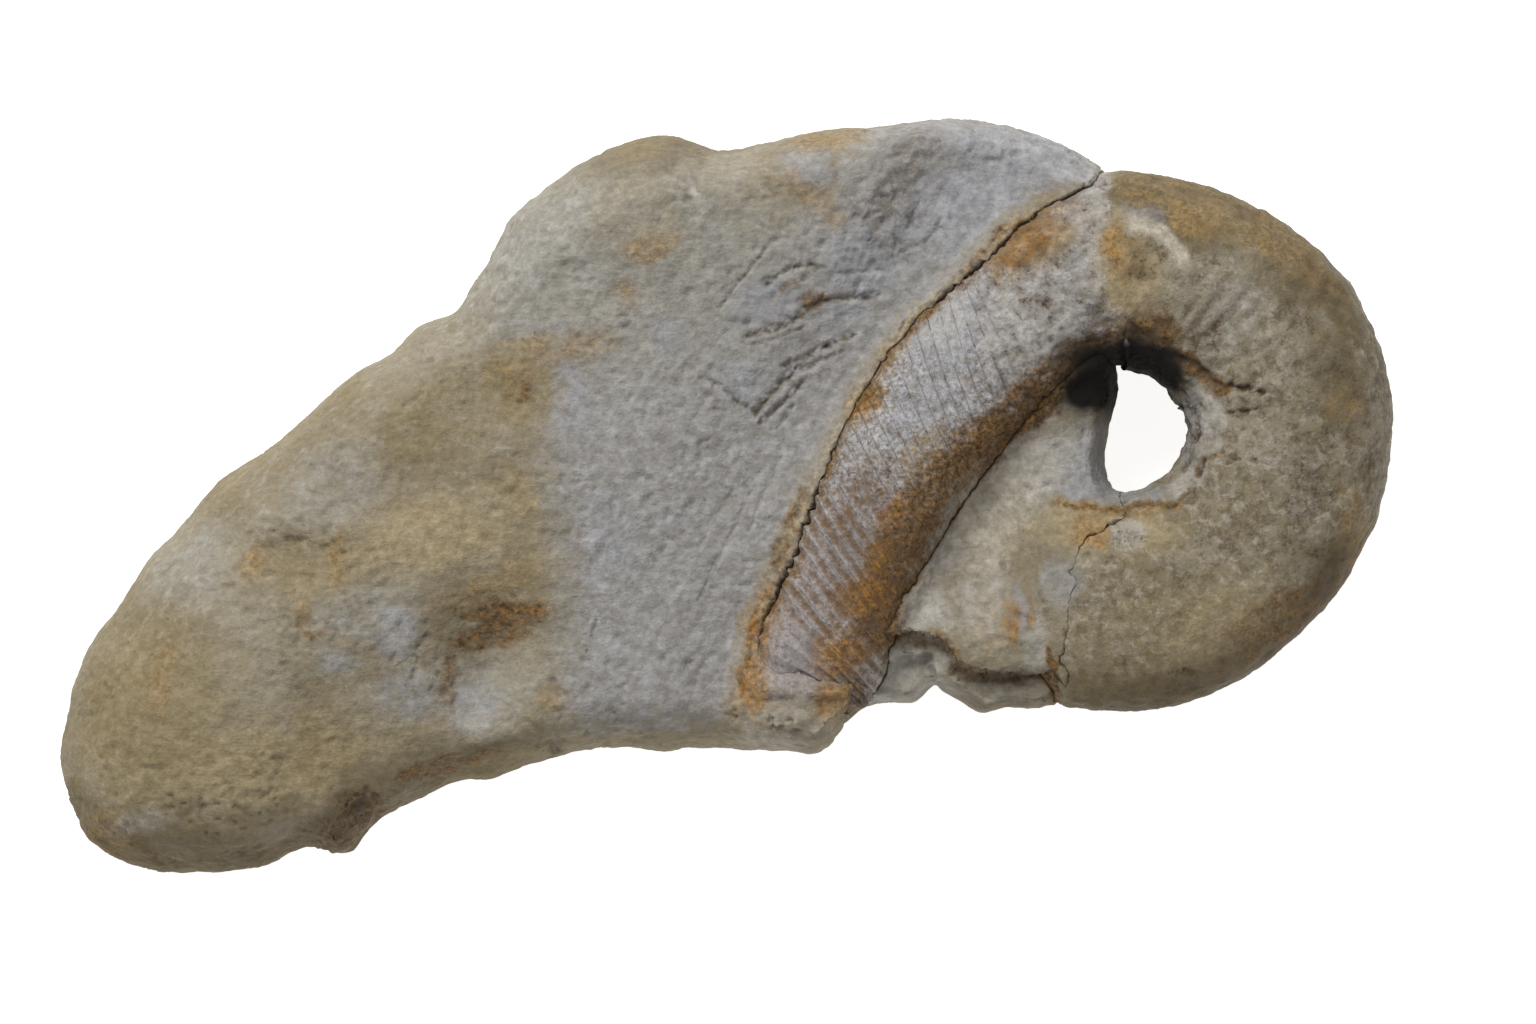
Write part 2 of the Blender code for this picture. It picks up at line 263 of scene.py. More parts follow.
# %% Stations of the shell
# x, y, height of the middle, half width seen from above, half height
SHELL_STATIONS = (
    (17.0, -49.5, 28.5, 13.0, 11.0), (19.0, -39.4, 30.0, 16.6, 14.6),
    (24.8, -21.8, 30.5, 16.9, 15.5), (33.0, -3.8, 31.0, 17.2, 16.2),
    (42.0, 11.7, 31.0, 17.9, 16.8), (51.5, 24.5, 30.5, 18.7, 17.3),
    (62.1, 35.4, 30.0, 19.2, 17.8), (74.2, 45.3, 29.0, 20.2, 18.5),
    (87.5, 50.3, 28.0, 22.2, 19.0), (100.8, 48.2, 27.0, 22.4, 19.3),
    (110.6, 43.4, 26.5, 22.9, 19.5), (118.6, 36.6, 26.0, 23.6, 19.7),
    (124.6, 26.8, 26.0, 23.8, 19.8), (126.7, 14.4, 26.0, 23.4, 20.0),
    (124.2, 1.6, 26.0, 23.4, 20.0), (117.5, -9.8, 26.0, 23.6, 20.0),
    (107.3, -18.7, 26.0, 24.2, 20.0), (95.2, -23.8, 26.0, 24.9, 19.8),
    (82.6, -25.4, 25.5, 23.6, 19.0), (72.6, -25.4, 24.5, 20.6, 16.0),
    (65.5, -25.4, 24.0, 15.5, 12.0),
)
SHAFT_LENGTH = 112.0
SQUARENESS = 2.3  # of the section: 2 is an ellipse, and more is boxier
RIB_SPACING = 3.2
RIB_DEPTH = 0.75
RIB_LEAN = math.radians(30)
RIB_FADE_IN, RIB_FADE_OUT = 22.0, 30.0
SPLINE_DETAIL = 24
PATH_STEP = 0.4


def spline(rows, step, closed=False):
    """Rows read off a smooth curve through the given rows, a step apart seen from above."""
    rows = np.array(rows, float)
    if closed:
        padded = np.vstack([rows[-1:], rows, rows[:2]])
    else:
        padded = np.vstack([2 * rows[0] - rows[1], rows, 2 * rows[-1] - rows[-2]])
    t = np.linspace(0, 1, SPLINE_DETAIL, endpoint=False)[:, None]
    pieces = []
    for a, b, c, d in zip(padded, padded[1:], padded[2:], padded[3:]):
        pieces.append(
            0.5 * (2 * b + (c - a) * t + (2 * a - 5 * b + 4 * c - d) * t**2
                   + (3 * b - a - 3 * c + d) * t**3)
        )
    fine = np.vstack(pieces + [rows[:1] if closed else rows[-1:]])
    length = np.r_[0, np.cumsum(np.linalg.norm(np.diff(fine[:, :2], axis=0), axis=1))]
    places = np.linspace(0, length[-1], round(length[-1] / step) + 1)
    if closed:
        places = places[:-1]
    return np.column_stack([np.interp(places, length, column) for column in fine.T])


shell_line = spline(SHELL_STATIONS, PATH_STEP)
line_length = np.linalg.norm(np.diff(shell_line[:, :2], axis=0), axis=1).sum()
print(f"the shell is {line_length:.0f} mm along its middle")

# %% [markdown]
# ## The shell as Geometry Nodes
#
# A ring of points could be written out by hand for every rib, but a node tree states the rule
# once. It starts from a plain cylinder. Each of its points asks the path where it belongs: how
# far up the cylinder it is says how far along the path, and its turn says where on the section.
# A point on the flank reads the path a little earlier or later than one on the crest, so the
# whole ring leans, and with it the ribs. That is how the ribs of the real shaft run.


# %% The tree that bends a cylinder along the path
def tube_tree():
    tree = bpy.data.node_groups.new("bent ribbed tube", "GeometryNodeTree")
    face = tree.interface
    face.new_socket("Geometry", in_out="OUTPUT", socket_type="NodeSocketGeometry")
    face.new_socket("Path", in_out="INPUT", socket_type="NodeSocketGeometry")
    for name in ("Sides", "Rings"):
        face.new_socket(name, in_out="INPUT", socket_type="NodeSocketInt")
    for name in ("Shaft Length", "Shaft Share", "Upper Crowding", "Squareness",
                 "Rib Spacing", "Rib Depth", "Rib Lean", "Fade In", "Fade Out"):
        face.new_socket(name, in_out="INPUT", socket_type="NodeSocketFloat")
    face.new_socket("Finish", in_out="INPUT", socket_type="NodeSocketMaterial")
    given = add(tree, "NodeGroupInput")

    curve = add(tree, "GeometryNodeMeshToCurve", {0: given["Path"]})[0]
    curve = add(tree, "GeometryNodeCurveSplineType", {0: curve}, spline_type="CATMULL_ROM")[0]
    curve = add(tree, "GeometryNodeSetSplineResolution", {0: curve, "Resolution": SPLINE_DETAIL})[0]
    curve = add(tree, "GeometryNodeResampleCurve", {"Curve": curve, "Length": PATH_STEP * MM},
                mode="LENGTH")[0]
    whole = add(tree, "GeometryNodeCurveLength", {0: curve})[0]
    section = add(tree, "GeometryNodeInputNamedAttribute", {"Name": "section"},
                  data_type="FLOAT_VECTOR")["Attribute"]

    cylinder = add(
        tree, "GeometryNodeMeshCylinder",
        {"Vertices": given["Sides"], "Side Segments": given["Rings"], "Radius": 1.0, "Depth": 1.0},
        fill_type="TRIANGLE_FAN",
    )["Mesh"]
    raw = add(tree, "ShaderNodeSeparateXYZ", {0: add(tree, "GeometryNodeInputPosition")[0]})
    share = calc(tree, "ADD", raw["Z"], 0.5)

    # Where along the path: the shaft has rings of its own spacing, and the hook wider ones
    on_shaft = add(tree, "ShaderNodeMapRange",
                   {0: share, 1: 0.0, 2: given["Shaft Share"], 3: 0.0, 4: given["Shaft Length"]})[0]
    hook_length = calc(tree, "SUBTRACT", whole, given["Shaft Length"])
    on_hook = add(tree, "ShaderNodeMapRange",
                  {0: share, 1: given["Shaft Share"], 2: 1.0, 3: 0.0, 4: hook_length})[0]
    place = calc(tree, "ADD", on_shaft, on_hook)

    # Where round the section, with more points on its upper side, which is the one seen
    turn = calc(tree, "ARCTAN2", raw["Y"], raw["X"])
    turn_cosine = calc(tree, "COSINE", turn)
    turn = calc(tree, "MULTIPLY_ADD", turn_cosine, given["Upper Crowding"], turn)
    flat = add(tree, "ShaderNodeCombineXYZ", {0: raw["X"], 1: raw["Y"]})[0]
    radius = add(tree, "ShaderNodeVectorMath", {0: flat}, operation="LENGTH")["Value"]
    power = calc(tree, "DIVIDE", 2.0, given["Squareness"])
    reach = []
    for wave in ("COSINE", "SINE"):
        value = calc(tree, wave, turn)
        size = calc(tree, "ABSOLUTE", value)
        size = calc(tree, "POWER", size, power)
        sign = calc(tree, "SIGN", value)
        value = calc(tree, "MULTIPLY", size, sign)
        reach.append(calc(tree, "MULTIPLY", value, radius))
    across, upward = reach

    # The ribs fade in from the lower end and out where the hook begins
    fade_in = add(tree, "ShaderNodeMapRange", {0: place, 1: 0.0, 2: given["Fade In"], 3: 0.0, 4: 1.0},
                  interpolation_type="SMOOTHSTEP")[0]
    fade_from = calc(tree, "SUBTRACT", given["Shaft Length"], given["Fade Out"])
    fade_out = add(
        tree, "ShaderNodeMapRange",
        {0: place, 1: fade_from, 2: given["Shaft Length"], 3: 1.0, 4: 0.0},
        interpolation_type="SMOOTHSTEP",
    )[0]
    fade = calc(tree, "MULTIPLY", fade_in, fade_out)
    phase = calc(tree, "DIVIDE", place, given["Rib Spacing"])
    phase = calc(tree, "MULTIPLY", phase, math.tau)
    wave = calc(tree, "COSINE", phase)
    wave = calc(tree, "MULTIPLY_ADD", wave, -0.5, 0.5)
    groove = calc(tree, "MULTIPLY", wave, given["Rib Depth"])
    groove = calc(tree, "MULTIPLY", groove, fade)

    # The lean: a flank point's own place lies before or after its ring's
    here = add(tree, "GeometryNodeSampleCurve", {"Curves": curve, "Value": section, "Length": place},
               mode="LENGTH", data_type="FLOAT_VECTOR")["Value"]
    here_width = add(tree, "ShaderNodeSeparateXYZ", {0: here})["Y"]
    slant = calc(tree, "TANGENT", given["Rib Lean"])
    slant = calc(tree, "MULTIPLY", slant, fade)
    slant = calc(tree, "MULTIPLY", slant, here_width)
    slant = calc(tree, "MULTIPLY", slant, across)
    own = calc(tree, "SUBTRACT", place, slant)
    there = add(tree, "GeometryNodeSampleCurve", {"Curves": curve, "Value": section, "Length": own},
                mode="LENGTH", data_type="FLOAT_VECTOR")
    size = add(tree, "ShaderNodeSeparateXYZ", {0: there["Value"]})
    along = add(tree, "ShaderNodeSeparateXYZ", {0: there["Tangent"]})
    back = calc(tree, "MULTIPLY", along["X"], -1.0)
    sideways = add(tree, "ShaderNodeCombineXYZ", {0: along["Y"], 1: back})[0]

    wide = calc(tree, "SUBTRACT", size["Y"], groove)
    tall = calc(tree, "SUBTRACT", size["Z"], groove)
    out = calc(tree, "MULTIPLY", wide, across)
    rise = calc(tree, "MULTIPLY_ADD", tall, upward, size["X"])
    point = add(tree, "ShaderNodeVectorMath", {0: sideways, "Scale": out}, operation="SCALE")[0]
    point = add(tree, "ShaderNodeVectorMath", {0: there["Position"], 1: point}, operation="ADD")[0]
    lift = add(tree, "ShaderNodeCombineXYZ", {2: rise})[0]
    point = add(tree, "ShaderNodeVectorMath", {0: point, 1: lift}, operation="ADD")[0]

    # Stored before the points move: own place, how far across and up the section, rib valley
    growth = add(tree, "ShaderNodeCombineXYZ", {0: own, 1: across, 2: upward})[0]
    mesh = add(tree, "GeometryNodeStoreNamedAttribute",
               {"Geometry": cylinder, "Name": "growth", "Value": growth},
               data_type="FLOAT_VECTOR", domain="POINT")[0]
    valley = calc(tree, "MULTIPLY", wave, fade)
    mesh = add(tree, "GeometryNodeStoreNamedAttribute",
               {"Geometry": mesh, "Name": "rib valley", "Value": valley},
               data_type="FLOAT", domain="POINT")[0]
    mesh = add(tree, "GeometryNodeSetPosition", {"Geometry": mesh, "Position": point})[0]
    mesh = add(tree, "GeometryNodeRealizeInstances", {0: mesh})[0]
    mesh = add(tree, "GeometryNodeSetMaterial", {"Geometry": mesh, "Material": given["Finish"]})[0]
    add(tree, "NodeGroupOutput", {0: mesh})
    return tree


TUBE = tube_tree()
print(f"the tube's tree has {len(TUBE.nodes)} nodes")

# %% [markdown]
# ## Two tubes from one tree
#
# The tree runs twice. The first tube is the shell. The second has fewer points. It gets the same
# relief as the shell, swells by a hair, and then cuts the bed that the shell lies in.

# %% Shell and trough cutter
SHELL_SIDES, SHELL_RINGS = 176, 540
SHAFT_SHARE = 0.52  # of the rings, which leaves 0.4 mm between them on the shaft
UPPER_CROWDING = 0.3
CUTTER_SIDES, CUTTER_RINGS = 96, 400


def path_object():
    """The stations as a chain of points, with height, half width and half height stored on each."""
    rows = np.array(SHELL_STATIONS) * MM
    mesh = bpy.data.meshes.new("path")
    points = [(x, y, 0.0) for x, y in rows[:, :2]]
    mesh.from_pydata(points, [(i, i + 1) for i in range(len(points) - 1)], [])
    section = mesh.attributes.new("section", "FLOAT_VECTOR", "POINT")
    section.data.foreach_set("vector", rows[:, 2:].ravel())
    made = bpy.data.objects.new("path", mesh)
    bpy.context.scene.collection.objects.link(made)
    return made


def tube(name, **inputs):
    """Runs the tree on the path with these inputs, and gives the result as a plain mesh object."""
    host = path_object()
    modifier = host.modifiers.new("bend", "NODES")
    modifier.node_group = TUBE
    for socket in TUBE.interface.items_tree:
        if socket.name in inputs:
            modifier[socket.identifier] = inputs[socket.name]
    graph = bpy.context.evaluated_depsgraph_get()
    mesh = bpy.data.meshes.new_from_object(
        host.evaluated_get(graph), preserve_all_data_layers=True, depsgraph=graph)
    mesh.name = name
    bpy.data.objects.remove(host)
    made = bpy.data.objects.new(name, mesh)
    bpy.context.scene.collection.objects.link(made)
    face_outwards(made)
    print(f"{name}: {len(mesh.vertices)} points")
    return made


def face_outwards(piece):
    mesh = bmesh.new()
    mesh.from_mesh(piece.data)
    bmesh.ops.recalc_face_normals(mesh, faces=mesh.faces)
    mesh.to_mesh(piece.data)
    mesh.free()


SHAPE = {
    "Shaft Length": SHAFT_LENGTH * MM, "Shaft Share": SHAFT_SHARE, "Squareness": SQUARENESS,
    "Upper Crowding": UPPER_CROWDING, "Rib Spacing": RIB_SPACING * MM, "Rib Depth": RIB_DEPTH * MM,
    "Rib Lean": RIB_LEAN, "Fade In": RIB_FADE_IN * MM, "Fade Out": RIB_FADE_OUT * MM,
}
shell = tube("weathered_shell_of_the_ammonite", **SHAPE, Sides=SHELL_SIDES, Rings=SHELL_RINGS)
cutter = tube("trough_cutter", **SHAPE, Sides=CUTTER_SIDES, Rings=CUTTER_RINGS)

# %% [markdown]
# ## Relief of the shell
#
# The ribs came from the tree. What is left is what weathering and the preparator's needle did:
# the hook kept a thin brown skin that ends in a broken step, the bare shaft is granular, faint
# growth wrinkles fan out from the hole, and its rim is knobbly with short clefts. Each of these
# moves the mesh along its normals, mostly inwards, so that the shell keeps its measured size.

# %% Named marks of the shell, in mm seen from above
# The edge where the hook's skin ends, then round the bare shaft
BARE_SHAFT = (
    (86.2, 82), (86.2, 72.7), (86.9, 66.4), (87.3, 61.4), (84.2, 57.8), (83.2, 52.4), (86.4, 43.9),
    (92.5, 38.2), (99, 34), (97, 18), (60, -6), (44, -40), (30, -70), (-10, -70), (-10, 0),
    (40, 60), (60, 85),
)
SKIN_STEP = 0.55
CREAM_RIDGE = ((92.5, 60.1), (98.1, 58.7), (101.7, 55.6), (103.3, 51.8))
# Clefts: corners, half width, depth
CLEFTS = (
    (((113.5, 24.4), (117.9, 23.9), (121.5, 23.2)), 0.6, 1.3),
    (((113, 18.2), (116.8, 18.9), (120.0, 19.5)), 0.6, 1.1),
    (((114, 8.3), (119, 7.6), (123.3, 6.5)), 0.5, 0.8),
    (((107.3, 7.7), (109.5, 8.6), (111.6, 9.5)), 0.45, 0.6),
    (((101.5, 30.6), (105.5, 29.4), (108.9, 26.3), (112.3, 23.8)), 0.8, 1.0),
    (((92.9, -1.6), (101, -1.6), (105.5, 1.6), (107.3, 7.7)), 0.55, 0.9),
    (((73.0, -34.5), (73.4, -38), (74.3, -43.9), (75.0, -48)), 0.5, 0.8),
)
# Knobs and dents: x, y, two radii, turn, rise
SHELL_LUMPS = (
    (107.1, 22.5, 2.2, 2.0, 0, 0.9), (108.2, 15.8, 2.4, 2.2, 30, 0.9), (107.3, 9.2, 2.3, 1.8, 60, 0.8),
    (103.6, 3.6, 2.6, 1.6, 30, 0.7), (98.4, 0.8, 2.6, 1.5, 10, 0.6), (104.6, 27.8, 2.4, 1.8, -30, 0.8),
    (110.0, 27.2, 1.8, 1.2, 10, 0.5), (114.5, 22.0, 3.2, 1.2, 5, 0.6), (116.0, 28.0, 3.5, 1.2, 15, 0.4),
    (90.2, -9.0, 3.6, 3.6, 0, -0.5), (131.9, 53.0, 2.5, 1.5, -40, -0.7), (93.0, 50.0, 7, 4, 100, -0.4),
    (123.0, -36.0, 3.0, 1.8, 30, -0.6), (146.0, 5.0, 6, 3, 90, -0.4), (103.0, -40.5, 4, 1.5, 5, -0.5),
    (76.5, -20.5, 3.0, 3.6, 0, -0.7), (138.0, -14.0, 5, 3, 60, -0.35),
)
CREAM_RIDGE_HEIGHT, CREAM_RIDGE_WIDTH = 0.5, 0.8
# Along the shell in mm, from and to
CRISP_RIBS_END = (42, 62)  # above this the ribs are worn to a trace
BROWN_VALLEYS_END = (44, 64)
HOOK_START = (118, 136)
WRINKLES_AT, WRINKLES_SPREAD = 158, 24  # where the wrinkles are strongest
WRINKLE_SPACING = 3.6
WRINKLE_DEPTH = 0.36
SHELL_GAP = 0.07  # the parting between shell and stone
END_LENGTH = 15.0  # the shell tapers over this length at both ends, under the stone
END_TAPER = 2.4


def coordinates(mesh):
    flat = np.empty(len(mesh.vertices) * 3, np.float32)
    mesh.vertices.foreach_get("co", flat)
    return flat.reshape(-1, 3).astype(float)


def normals(mesh):
    flat = np.empty(len(mesh.vertices) * 3, np.float32)
    mesh.vertex_normals.foreach_get("vector", flat)
    return flat.reshape(-1, 3).astype(float)


def paint(mesh, name, values):
    """Stores one number for each point, as a mask that a material can read."""
    attribute = mesh.attributes.new(name, "FLOAT", "POINT")
    attribute.data.foreach_set("value", np.asarray(values, np.float32))


def move_along_normals(mesh, height_mm):
    moved = coordinates(mesh) + normals(mesh) * (height_mm * MM)[:, None]
    mesh.vertices.foreach_set("co", moved.astype(np.float32).ravel())
    mesh.update()


def growth_of(mesh):
    """How far along the shell each point is, in mm, and how far across and up the section."""
    flat = np.empty(len(mesh.vertices) * 3, np.float32)
    mesh.attributes["growth"].data.foreach_get("vector", flat)
    own, across, upward = flat.reshape(-1, 3).T
    return own / MM, across, upward


def shell_relief(mesh):
    at = coordinates(mesh) / MM
    plan = as_seen(at)
    own, across, upward = growth_of(mesh)
    valley = np.empty(len(at), np.float32)
    mesh.attributes["rib valley"].data.foreach_get("value", valley)
    up = smooth_step(-0.1, 0.45, upward)
    bare_gap = inside_by(plan, BARE_SHAFT) + clouds(at, 5.0, 3, 3) * 1.1
    core = smooth_step(-0.25, 0.45, bare_gap) * up
    hook = smooth_step(*HOOK_START, own)
    # Ribs: crisp low on the shaft, worn down to a trace above
    crisp = (1 - smooth_step(*CRISP_RIBS_END, own)) * smooth_step(-0.5, 0.15, clouds(at, 9.0, 2, 40))
    crisp *= smooth_step(0.5, 0.8, upward)
    height = RIB_DEPTH * valley * (0.9 - 0.75 * crisp)
    low_on_shaft = 1 - smooth_step(*BROWN_VALLEYS_END, own)
    paint(mesh, "rib shade", smooth_step(0.45, 1.0, valley) * low_on_shaft * up)
    # Bare shaft: granular, and lower than the skin by a step
    height -= SKIN_STEP * core
    grains = clouds(at, 1.5, 3, 1)
    height += np.minimum(0.05, grains * 0.42 - 0.02) * core * (1 - 0.55 * crisp)
    height += (clouds(at, 5.0, 4, 2) * 0.55 - 0.3) * core * (1 - 0.5 * crisp)
    # Skin of the hook: softly worn, with growth wrinkles that wander and come and go
    height += (clouds(at, 15.0, 4, 4) * 0.7 - 0.4) * (1 - core)
    height += (clouds(at, 3.4, 5, 5) * 0.42 - 0.12) * (1 - core)
    inner_side = smooth_step(0.2, 0.8, across) * hook
    wander = clouds(at, 18.0, 2, 6) * 2.0 + clouds(at, 4.0, 3, 7) * 0.5
    wave = 0.5 + 0.5 * np.cos((own + wander + across * across * 3.0) * math.tau / WRINKLE_SPACING)
    patchy = smooth_step(-0.25, 0.5, clouds(at, 12.0, 2, 8))
    upper_right = np.exp(-((own - WRINKLES_AT) / WRINKLES_SPREAD) ** 2)
    share = (0.15 + 0.85 * patchy) * (0.2 + 0.8 * upper_right) * (1 - 0.8 * inner_side)
    wrinkle = wave * hook * (1 - core) * share
    paint(mesh, "wrinkle shade", wrinkle * up)
    height -= WRINKLE_DEPTH * wrinkle
    # The broken edge of the skin, its cream ridge, and the clefts and knobs round the hole
    from_ridge = line_gap(plan, CREAM_RIDGE) / CREAM_RIDGE_WIDTH
    height += CREAM_RIDGE_HEIGHT * np.exp(-from_ridge**2) * up
    ragged = clouds(at, 2.2, 4, 9)
    for corners, half_width, depth in CLEFTS:
        gap = line_gap(plan, corners) + ragged * 0.9 + 0.1
        height -= depth * np.exp(-(np.maximum(gap, 0) / half_width) ** 2) * up
    height += mounds(plan, SHELL_LUMPS) * up
    rim = np.exp(-((plan[:, 0] - 105) / 6) ** 2 - ((plan[:, 1] - 12) / 17) ** 2)
    height += (clouds(at, 3.2, 4, 10) * 0.9 - 0.15) * rim
    taper = 1 - smooth_step(0, END_LENGTH, own)
    taper += smooth_step(line_length - END_LENGTH, line_length, own)
    move_along_normals(mesh, height - END_TAPER * taper)
    return height


relief_of_shell = shell_relief(shell.data)
shell_relief(cutter.data)
move_along_normals(cutter.data, np.full(len(cutter.data.vertices), SHELL_GAP))
print(f"relief of the shell: {relief_of_shell.min():.2f} to {relief_of_shell.max():.2f} mm")

# %% [markdown]
# ## The nodule's form
#
# A nodule grows round the fossil as minerals harden the mud, so it is a flat pillow with rounded
# flanks. Seen from above it is an outline, and for each point a height: the crown's height,
# which falls to the outline in a quarter circle. Swellings and hollows are added to the crown.

# %% Outline, swellings and ledges
# x, y, and how far in from the edge the stone rounds over; clockwise from the left lobe's tip
NODULE_EDGE = (
    (-150.1, -59.0, 24), (-149.2, -51.8, 24), (-147.2, -42.1, 24), (-143.1, -32.6, 24),
    (-136.3, -23.6, 23), (-131.0, -15.1, 22), (-122.0, -5.6, 21), (-114.5, 3.4, 20),
    (-101.5, 12.4, 19), (-84.2, 27.4, 18), (-75.6, 32.4, 17), (-69.5, 38.2, 16),
    (-61.0, 41.9, 15), (-57.8, 47.0, 15), (-53.6, 53.3, 15), (-48.6, 63.0, 16),
    (-41.4, 69.1, 17), (-32.4, 75.6, 18), (-23.4, 79.7, 18), (-14.4, 81.9, 18),
    (-7.7, 80.8, 17), (-0.9, 78.5, 15), (8.1, 79.9, 14), (22.3, 82.8, 12),
    (35.8, 83.9, 10), (50.2, 85.5, 10), (62.8, 84.2, 11), (73.4, 81.0, 11),
    (81.9, 76.7, 10), (86.2, 72.5, 8), (87.3, 63.0, 7), (85.7, 43.9, 6),
    (88.2, 32.6, 5), (89.6, 24.8, 5), (88.9, 20.2, 5), (87.2, 13.5, 5),
    (86.8, 5.6, 5), (89.5, 0.7, 5), (95.9, -2.2, 5), (99.9, -9.0, 6),
    (98.1, -21.4, 8), (91.4, -33.8, 8), (83.5, -42.0, 7), (76.5, -45.6, 5),
    (71.5, -48.6, 4), (64.4, -48.6, 4), (58.3, -49.7, 4), (54.2, -47.5, 4),
    (49.3, -44.6, 4), (47.5, -43.4, 3.5), (43.4, -47.0, 4), (39.1, -47.5, 4),
    (32.2, -48.4, 4), (28.4, -51.3, 4), (25.7, -55.1, 5), (22.1, -58.1, 6),
    (18.9, -59.0, 8), (12.6, -58.3, 10), (3.6, -58.1, 12), (-7.7, -57.6, 13),
    (-12.8, -58.5, 13), (-23.4, -57.6, 14), (-32.4, -58.5, 14), (-40.1, -60.3, 14),
    (-45.2, -61.6, 14), (-52.6, -64.6, 14), (-60.1, -65.0, 15), (-67.7, -68.6, 16),
    (-76.3, -72.9, 16), (-79.7, -76.0, 15), (-83.5, -80.5, 13), (-87.5, -81.5, 13),
    (-92.5, -80.1, 15), (-97.0, -81.2, 16), (-104.0, -84.6, 18), (-112.3, -85.5, 20),
    (-125.3, -85.7, 22), (-135.9, -83.2, 23), (-144.2, -77.6, 24), (-148.3, -68.6, 24),
)
EDGE_HEIGHT = 17.0
UNDERSIDE_ROUNDING = 0.7
CROWN_HEIGHT = 43.5
# x, y, radius along, radius across, turn in degrees, rise
CROWN = (
    (-98.0, -34.0, 62.0, 30.0, 45.0, 7.5),  # swell of the left lobe
    (-17.0, 62.0, 24.0, 18.0, 10.0, 3.0),  # knob at the upper edge
    (30.0, 34.0, 62.0, 13.0, 52.0, -5.0),  # cut back beside the shaft
    (2.0, -38.0, 26.0, 12.0, 75.0, -4.5),  # and at the shaft's foot
    (66.0, 72.0, 26.0, 12.0, -15.0, -4.5),  # fan of cut stone above the shaft
    (56.0, -6.0, 22.0, 32.0, -20.0, -11.0),  # between shaft and hook
    (70.0, -44.0, 22.0, 10.0, 0.0, -6.0),  # below the hook's mouth
    (99.0, 14.0, 17.0, 19.0, 0.0, -17.0),  # slope down into the hole
    (-52.6, -37.6, 10.5, 13.5, -12.0, -5.5),  # round dent
    (-97.5, -14.0, 13.0, 5.0, -12.0, -3.2),  # long dent
    (-60.0, 12.0, 16.0, 9.0, 40.0, -1.6),  # hollow above it
    (-46.0, -56.0, 20.0, 4.0, 12.0, 1.6),  # ridge below the round dent
    (-90.0, -62.0, 14.0, 8.0, 30.0, -1.8),  # hollow of the lower lobe
)
UNDERSIDE_HOLLOWS = (
    (-112.0, -48.0, 16.0, 11.0, 40.0, 3.6), (-48.0, -8.0, 26.0, 14.0, 55.0, 4.2),
    (14.0, 58.0, 24.0, 9.0, 5.0, 3.4), (52.0, 2.0, 15.0, 24.0, -30.0, 3.8),
    (-16.0, -42.0, 22.0, 8.0, 0.0, 3.0),
)
LEVEL_SHARE = 1.0  # a hollow shallower than this is level ground
# Broken ledges of the lower edge: the drop, and the corners of each
LEDGES = (
    (5.5, ((33, -33), (40, -31.5), (48.5, -32.5), (52.5, -38.5), (60, -41), (75, -39.5),
           (80, -56), (20, -60), (29, -46))),
    (5.0, ((34, -36.5), (46, -37), (48, -45), (46, -55), (24, -58), (31, -45))),
)
LEDGE_SLOPE = 1.3


def ledge_depth(plan, ragged):
    """How far the broken ledges lower the stone; ragged shifts their edges to and fro."""
    depth = np.zeros(len(plan))
    for drop, corners in LEDGES:
        inside = inside_by(plan, corners) + ragged
        depth += drop * np.clip(0.5 + inside / LEDGE_SLOPE, 0, 1)
    return depth


def rounded(share):
    """A quarter circle: 0 at the edge, and 1 where the rounding ends."""
    return np.sqrt(1 - (1 - np.clip(share, 0, 1)) ** 2)


nodule_edge = spline(NODULE_EDGE, 0.9, closed=True)
print(f"the nodule's outline has {len(nodule_edge)} points")

# %% [markdown]
# ## Points for the nodule's mesh
#
# One regular grid would be wasteful: too fine under the shell and too coarse at the rim. So the
# points go where the eye does. Rows follow the rim, closer together where the flank is steep,
# fine rows follow the tool marks, a close grid covers the crown, and a wide one fills what the
# shell hides. A constrained Delaunay triangulation joins them all into well-shaped triangles.

